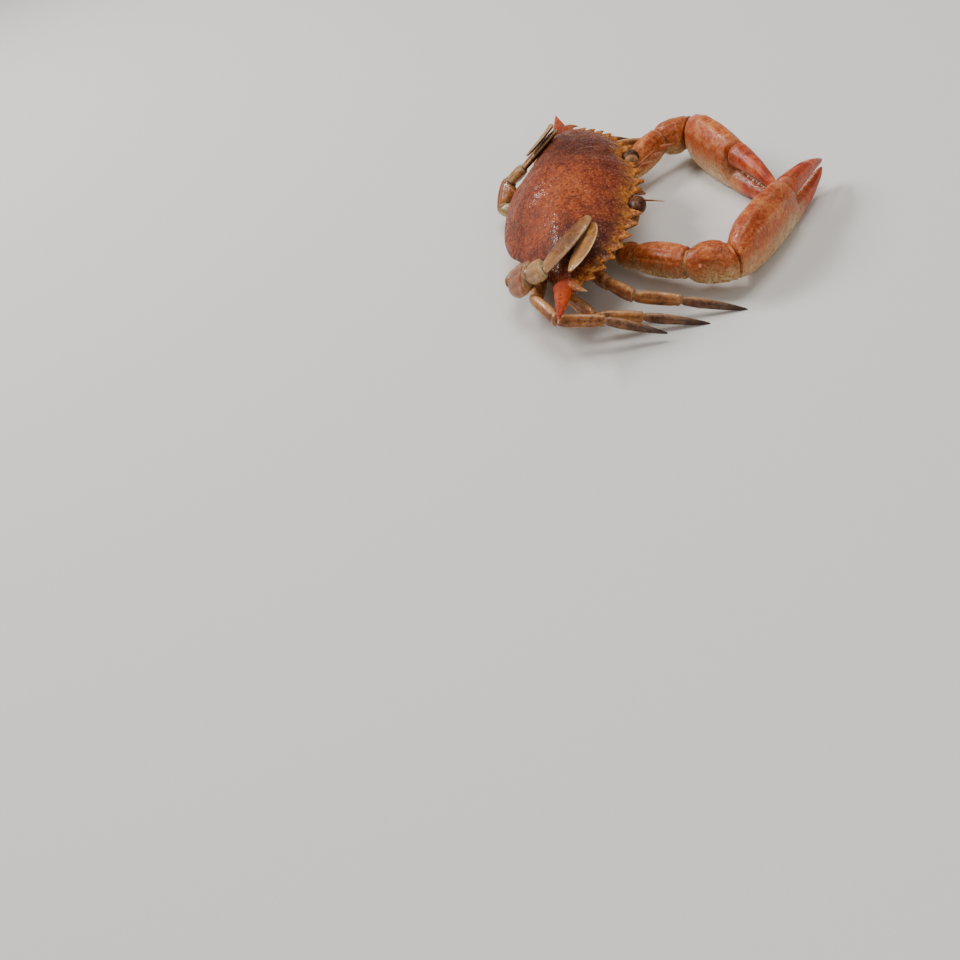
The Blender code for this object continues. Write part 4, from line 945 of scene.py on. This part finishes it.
def hand_form(wrist, tip, profile, first, count, sides, first_way=None):
    """The hand or one finger: rings that follow its height and thickness, with grained ridges."""
    axis, across, up = ways_along(tip - wrist)
    shares = np.linspace(first, 1.0, count)
    rise, tall, thick = smooth_profile(profile, shares, 0.016, first)
    angles, cosine, sine = squared_circle(sides, 1.0)
    rings, marks = [], {"along": [], "height": [], "ridge": []}
    for share, centre_rise, half_height, half_thick in zip(shares, rise, tall, thick):
        near = min(share - first, 1.0 - share) / (1.0 - first)
        cap = 0.70 + 0.30 * rounding(near / 0.02)
        fade = min(1.0, near * 12.0) * (1.0 if share < 0.56 else 0.55)
        lift = np.zeros(sides)
        ridge = np.zeros(sides)
        for at, height in HAND_RIDGES:
            line = bump_of(angles, at + 0.03 * math.sin(share * 19.0 + at), 0.075)
            wander = 0.8 * math.sin(share * 37.0 + at * 5.0) + 0.5 * math.sin(share * 83.0 + at)
            beads = 0.5 + 0.5 * math.cos(2.0 * math.pi * share * 66.0 + at * 3.0 + wander)
            beads *= 0.6 + 0.4 * math.sin(share * 51.0 + at * 7.0)
            lift += height * line * beads * fade
            ridge = np.maximum(ridge, 0.5 * line * beads * fade)
            lift -= 0.16 * fade * bump_of(angles, at + 0.28, 0.16)
        offset = (up * ((half_height * cap + lift) * cosine)[:, None]
                  + across * ((half_thick * cap + lift) * sine)[:, None])
        if first_way is not None and share < WRIST_BLEND:
            tilted = unit(axis * share / WRIST_BLEND + first_way * (1.0 - share / WRIST_BLEND))
            offset = offset - axis * ((offset @ tilted) / (axis @ tilted))[:, None]
        ring = wrist + (tip - wrist) * share + up * centre_rise + offset
        ring[:, 2] = np.maximum(ring[:, 2], 0.0)
        rings.append(ring)
        marks["along"].append(np.full(sides, share))
        marks["height"].append(0.5 + 0.5 * (cosine * half_height + centre_rise) / HAND_HALF_HEIGHT)
        marks["ridge"].append(ridge)
    return closed_tube(rings, marks)


def biting_teeth(wrist, tip, profile, upper):
    """White blunt teeth along the gape, each sunk into its finger."""
    up = ways_along(tip - wrist)[2]
    facing = -up if upper else up
    stations, rises, half_heights, _ = np.array(profile).T
    forms = []
    for share, width, height in BITING_TEETH:
        share += TEETH_STAGGER if upper else 0.0
        rise = np.interp(share, stations, rises)
        half_height = np.interp(share, stations, half_heights)
        surface = wrist + (tip - wrist) * share + up * rise + facing * half_height
        foot, top = surface - facing * 1.2, surface + facing * height * 0.85
        points, faces = cone_form(foot, top, width, 8, 10, 0.42)
        forms.append((points, faces, {"along": share, "height": 0.5, "tooth": 0.85}))
    return forms


def arm_spine(start, end, inward, share, length, width, forward, out, upward, radius):
    """A pale-tipped spine on the arm or the hand."""
    up = np.array(UPWARDS)
    lean = unit(unit(end - start) * forward + inward * out + up * upward)
    surface = start + (end - start) * share + unit(inward * out + up * upward) * radius
    points, faces = cone_form(surface - lean * (0.55 * width), surface + lean * length, width)
    tipped = np.repeat(np.linspace(0.0, 1.0, CONE_RINGS), CONE_RINGS)
    pale = np.concatenate([0.25 * tipped ** 3, [0.0, 0.28]])
    return points, faces, {"along": share, "height": 0.8, "tooth": pale}


for label, side in SIDES.items():
    joints = mirrored(ARM_JOINTS[side], side)
    planes = joint_planes(joints)
    inward = unit(mirrored(ARM_INWARD, side))
    for k, kind in enumerate(("ischium", "merus", "carpus")):
        start, end = limb_ends(joints, planes, k)
        broad, thin = ARM_SIZES[kind]
        points, faces, marks = limb_form(start, end, ARM_PROFILES[kind], broad, thin, UPWARDS, planes[k],
                                         planes[k + 1], count=96, sides=96, squareness=2.3,
                                         relief=leg_relief(kind, broad * 0.55, BEAD_HEIGHT))
        low, high = points[:, 2].min(), points[:, 2].max()
        marks = {"along": marks["along"] * 0.5, "height": (points[:, 2] - low) / (high - low)}
        forms = [(points, faces, marks), joint_skin(joints[k], planes[k], thin * 0.95)]
        for name, *spine in ARM_SPINES:
            if name == kind:
                forms.append(arm_spine(start, end, inward, *spine, 0.5 * thin))
        new_piece(f"claw_{kind}_shell_{label}", forms, arm_material, f"claw_{kind}_{label}")
    wrist = limb_ends(joints, planes, 3)[0]
    tip = joints[4]
    forms = [hand_form(wrist, tip, PALM_PROFILE, 0.0, 120, 72, planes[3])]
    forms += biting_teeth(wrist, tip, PALM_PROFILE, False)
    forms.append(arm_spine(wrist, tip, inward, *PALM_SPINE, PALM_SPINE_RADIUS))
    forms.append(joint_skin(joints[3], planes[3], WRIST_SKIN))
    new_piece(f"claw_hand_{label}", forms, hand_material, f"claw_palm_{label}")
    forms = [hand_form(wrist, tip, FINGER_PROFILE, FINGER_PROFILE[0][0], 70, 56)]
    forms += biting_teeth(wrist, tip, FINGER_PROFILE, True)
    ways = ways_along(tip - wrist)
    knuckle = wrist + (tip - wrist) * KNUCKLE_SHARE + ways[2] * KNUCKLE_RISE
    points, faces, _ = ellipsoid_form(knuckle, KNUCKLE_RADII, ways, 24, 36)
    forms.append((points, faces, {"along": 0.66, "height": 0.5}))
    new_piece(f"claw_moving_finger_{label}", forms, hand_material, f"claw_finger_{label}")

# The underside: the body box below the carapace, cream chitin with a groove for each pair of legs,
# short hips, the narrow tail plate folded forwards in its recess and two plates over the mouth.
# The animal grew it with the carapace; the tail plate is hinged at the rear.
BODY_SQUARENESS = 2.6
BODY_MIDDLE = (0.0, 12.0)
# Level, half width, front and rear of the body box
BODY_LEVELS = [
    (16.4, 41.6, 19.8, -19.6), (14.0, 40.6, 19.4, -19.4), (10.6, 29.5, 17.6, -20.6),
    (7.4, 24.4, 15.0, -20.4), (3.4, 20.5, 12.0, -19.0), (0.9, 17.5, 9.0, -17.0), (0.0, 14.5, 6.6, -14.6),
]
HIP_INSIDE = (0.55, 0.78, 7.6)
HIP_WIDTHS = {"claw": 8.4, "walking": 6.0, "swimming": 6.4}
HIP_PROFILE = [(0.0, 1.0, 1.0), (0.62, 1.02, 1.02), (0.78, 0.90, 0.90), (0.9, 1.0, 1.0), (1.0, 0.9, 0.9)]
# Plates as lines of y, z and half width
TAIL_PLATE = [
    (4.2, 0.0, 1.5), (-0.5, 0.0, 2.5), (-5.0, 0.0, 2.9), (-9.5, 0.0, 3.4), (-12.6, 0.0, 6.0),
    (-15.0, 0.7, 10.2), (-18.6, 2.8, 12.4), (-20.9, 6.4, 13.0), (-21.8, 10.0, 12.2),
]
TAIL_THICK = 1.5
TAIL_JOINTS = (0.13, 0.30, 0.44, 0.57, 0.70, 0.84)
MOUTH_LINE = [(18.8, 12.2, 2.4), (17.9, 11.0, 3.7), (14.8, 6.9, 3.9), (11.8, 2.9, 3.6), (10.8, 1.6, 2.4)]
MOUTH_MIDDLE = 4.3
MOUTH_THICK = 1.8
MOUTH_JOINTS = (0.34, 0.80)
PLATE_ROUNDING = 0.62
RECESS_SPARE = 0.25
# Grooves between the leg plates of the breast: from the tail plate outwards
BREAST_GROOVES = [
    [(4.6, 4.6), (12.0, 6.4), (21.0, 10.5)], [(4.4, -0.6), (12.0, 0.4), (24.0, 3.0)],
    [(4.6, -5.4), (12.0, -5.6), (25.0, -5.0)], [(5.2, -9.6), (12.0, -11.0), (24.0, -12.5)],
]


def plate_form(path, thick, middle_x, joints, sides, count):
    """A slightly arched plate along a line of (y, z, half width), with a groove at each joint."""
    line = curve_through(path, count)
    rings, marks = [], {"low": []}
    _, cosine, sine = squared_circle(sides, PLATE_ROUNDING)
    for k, (y, z, half) in enumerate(line):
        way = unit(line[min(k + 1, count - 1)][:2] - line[max(k - 1, 0)][:2])
        inward = np.array((way[1], -way[0]))
        if inward[1] < 0.0 or (abs(inward[1]) < 0.3 and inward[0] < 0.0):
            inward = -inward
        share = k / (count - 1.0)
        closing = 0.6 + 0.4 * rounding(min(share, 1.0 - share) / 0.03)
        groove = sum(math.exp(-((share - at) / 0.011) ** 2) for at in joints)
        depth = 0.5 * thick * (1.0 - (1.0 - sine) * 0.5 * (1.0 - closing))
        inset = 0.5 * thick + sine * depth + (sine < 0.0) * (0.28 * groove - 0.20 * (1.0 - cosine ** 2))
        x = middle_x + half * closing * (1.0 - 0.02 * groove) * cosine
        rings.append(np.stack([x, y + inward[0] * inset, z + inward[1] * inset], axis=1))
        # The joint grooves get a low mark, which the material darkens as painted shade.
        marks["low"].append(np.full(sides, min(groove, 1.0)))
    points, faces, marks = closed_tube(rings, marks)
    points[:, 2] = np.maximum(points[:, 2], 0.0)
    return points, faces, {"along": 0.5, **marks}


def press_under_plate(points, path, middle_x, depth, margin):
    """Push the body's surface in under a plate, so that the plate lies in its own recess."""
    line = curve_through(path, 60)
    for (*a, half), (*b, _) in zip(line[:-1], line[1:]):
        step = np.subtract(b, a)
        way = unit(step)
        inward = np.array((way[1], -way[0]))
        if inward @ (np.array(BODY_MIDDLE) - a) < 0.0:
            inward = -inward
        offset = points[:, 1:] - a
        along = offset @ way
        height = offset @ inward
        within = (along >= -0.05) & (along < np.linalg.norm(step) + 0.05) & (height < depth) & (height > -4.0)
        edge = np.clip((half + margin - np.abs(points[:, 0] - middle_x)) / 0.5, 0.0, 1.0)
        points[:, 1:] += (within * edge * (depth - height))[:, None] * inward


def body_form():
    """The body box: rings from the shell down to the floor and in to the middle of the breast."""
    sides = 240
    _, cosine, sine = squared_circle(sides, 2.0 / BODY_SQUARENESS)
    rings = []
    for z, half, front, rear in curve_through(BODY_LEVELS, 70):
        rings.append(np.stack([half * cosine, 0.5 * (front - rear) * sine + 0.5 * (front + rear),
                               np.full(sides, max(z, 0.0))], axis=1))
    last = rings[-1]
    middle = last.mean(0)
    for share in np.linspace(0.97, 0.03, 44):
        rings.append(middle + (last - middle) * share)
    points, faces, _ = closed_tube(rings, {})
    reach = step_between(-points[:, 2], -12.0, -9.0)
    # The breast grooves get a low mark, which the material darkens as painted shade.
    low = np.max([near_line(points, line, 0.55, 24) for line in BREAST_GROOVES], axis=0) * reach
    points[:, 2] += 0.5 * low
    points[:, :2] *= 1.0 - 0.012 * low[:, None]
    swell = 0.25 * roughness_field(points, 4.0, 3.0) * step_between(points[:, 2], 0.6, 3.0)
    points[:, :2] *= 1.0 + swell[:, None] / 25.0
    press_under_plate(points, TAIL_PLATE, 0.0, TAIL_THICK + RECESS_SPARE, 0.5)
    for side in SIDES.values():
        press_under_plate(points, MOUTH_LINE, side * MOUTH_MIDDLE, 0.5 * MOUTH_THICK + RECESS_SPARE, 0.4)
    return points, faces, {"low": low, "along": 0.5}


body_material = cooked_limb("cooked_underside", "6e4a2a", "b08a5c", "d6bd92", "d6bd92", "b08a5c")
plate_material = cooked_limb("cooked_tail_plate", "7a5430", "bd9a6c", "dec9a2", "dec9a2", "bd9a6c")
forms = [body_form()]
for side in SIDES.values():
    limbs = [("claw", ARM_JOINTS[side]), ("swimming", SWIM_JOINTS[side])]
    limbs += [("walking", joints) for joints in WALKING_JOINTS.values()]
    for kind, joints in limbs:
        hip, knee = mirrored(joints[:2], side)
        way = unit(knee - hip)
        inner = np.array((hip[0] * HIP_INSIDE[0], hip[1] * HIP_INSIDE[1], HIP_INSIDE[2]))
        width = HIP_WIDTHS[kind]
        forms.append(limb_form(inner, hip - way * 0.5 * JOINT_GAP, HIP_PROFILE, width, width, UPWARDS, None,
                               way, count=40, relief=leg_relief("hip", width * 0.7)))
new_piece("breast_and_hips", forms, body_material, "underbody")
forms = [plate_form(TAIL_PLATE, TAIL_THICK, 0.0, TAIL_JOINTS, 64, 150)]
new_piece("tail_plate", forms, plate_material, "abdomen")
for label, side in SIDES.items():
    points, faces, marks = plate_form(MOUTH_LINE, MOUTH_THICK, side * MOUTH_MIDDLE, MOUTH_JOINTS, 48, 90)
    shift = unit(np.subtract(MOUTH_LINE[-1], MOUTH_LINE[0])[:2])
    outward = np.array((-shift[1], shift[0]))
    outward = outward if outward[1] < 0.0 else -outward
    points[:, 1:] += outward * 0.5 * MOUTH_THICK
    new_piece(f"mouth_cover_{label}", [(points, faces, marks)], plate_material, f"mouth_plate_{label}")

# The feelers: a long pair outside and a short stout pair between the eyes, each a stalk of a few
# thick pieces that carries a ringed lash. Reddish tan chitin with soft skin between the rings.
FEELERS = {
    "antenna": ([(11.2, 24.0, 20.8), (14.0, 29.6, 21.4), (21.5, 36.4, 22.6)], 2.0, 34,
                [(0.0, 1.0, 1.0), (0.18, 1.0, 1.0), (0.28, 0.60, 0.60), (0.65, 0.36, 0.36),
                 (1.0, 0.16, 0.16)]),
    "antennule": ([(4.0, 24.6, 20.4), (4.3, 27.4, 20.2), (4.9, 30.0, 18.6)], 2.2, 9,
                  [(0.0, 1.0, 1.0), (0.45, 1.0, 1.0), (0.8, 0.8, 0.7), (1.0, 0.40, 0.36)]),
}


def ringed(width, rings):
    """Shallow notches round a lash, fainter towards its tip."""
    def relief(share, angles):
        notch = max(0.0, math.cos(2.0 * math.pi * share * rings)) ** 6
        return np.full(len(angles), -0.05 * width * notch * (1.2 - share))
    return relief


feeler_material = cooked_limb("cooked_feeler", "5c2a18", "94522e", "bb8358", "c79468", "a06a42")
for name, (line, width, rings, profile) in FEELERS.items():
    for label, side in SIDES.items():
        start, control, end = mirrored(line, side)
        forms = [limb_form(start, end, profile, width, width, UPWARDS, None, None, control,
                           count=rings * 8, sides=20, relief=ringed(width, rings))]
        new_piece(f"{name}_lash_{label}", forms, feeler_material, f"{name}_{label}")

# The floor, the soft boxes and the camera of the picture. The camera stands at the crab's right
# side and looks down on it, rolled, because the crab lay tilted there and stands level here.
FLOOR_REACH = 5.0
bpy.ops.mesh.primitive_plane_add(size=2.0 * FLOOR_REACH, location=(0.0, 0.0, 0.0))
floor = bpy.context.active_object
floor.name = "studio_floor"
floor_material, tree = start_material("matt_paper_floor")
paper = add(tree, "BsdfPrincipled", {"Base Color": "dcd9d3", "Roughness": 0.85})
add(tree, "OutputMaterial", {"Surface": paper})
floor.data.materials.append(floor_material)

world = bpy.data.worlds.new("soft_room")
bpy.context.scene.world = world
world.use_nodes = True
room = world.node_tree.nodes["Background"].inputs
room["Color"].default_value = rgb("e8e6e2")
room["Strength"].default_value = 0.30
SOFT_BOX_AIM = Vector((0.0, 0.01, 0.02))
# Name, place, side and power of each, in metres and watts
SOFT_BOXES = [
    ("window_box", (-0.49, -1.05, 1.05), 0.63, 17.6),
    ("glint_box", (-0.69, -0.76, 1.00), 0.18, 4.6),
    ("fill_box", (0.80, 0.55, 0.70), 0.9, 3.6),
    ("top_box", (-0.15, 0.10, 1.1), 0.5, 6.5),
]
for name, place, size, power in SOFT_BOXES:
    light = bpy.data.lights.new(name, "AREA")
    light.size = size
    light.energy = power
    lamp = placed(name, light)
    lamp.location = place
    lamp.rotation_euler = (SOFT_BOX_AIM - Vector(place)).to_track_quat("-Z", "Y").to_euler()

CAMERA_PLACE = (348.8, 37.8, 199.0)
CAMERA_RIGHT = (-0.0517, 0.9545, -0.2935)
CAMERA_UP = (-0.6898, 0.1784, 0.7017)
CAMERA_BACK = (0.7221, 0.2388, 0.6492)
FOCAL_PIXELS = 961.84
IMAGE_PIXELS = 960.0
SENSOR_MM = 36.0
camera_data = bpy.data.cameras.new("picture_camera")
camera_data.sensor_width = SENSOR_MM
camera_data.lens = SENSOR_MM * FOCAL_PIXELS / IMAGE_PIXELS
camera_data.clip_start = 0.01
camera = placed("picture_camera", camera_data)
turn = Matrix((CAMERA_RIGHT, CAMERA_UP, CAMERA_BACK)).transposed().to_4x4()
camera.matrix_world = Matrix.Translation(Vector(CAMERA_PLACE) * MM) @ turn
bpy.context.scene.camera = camera
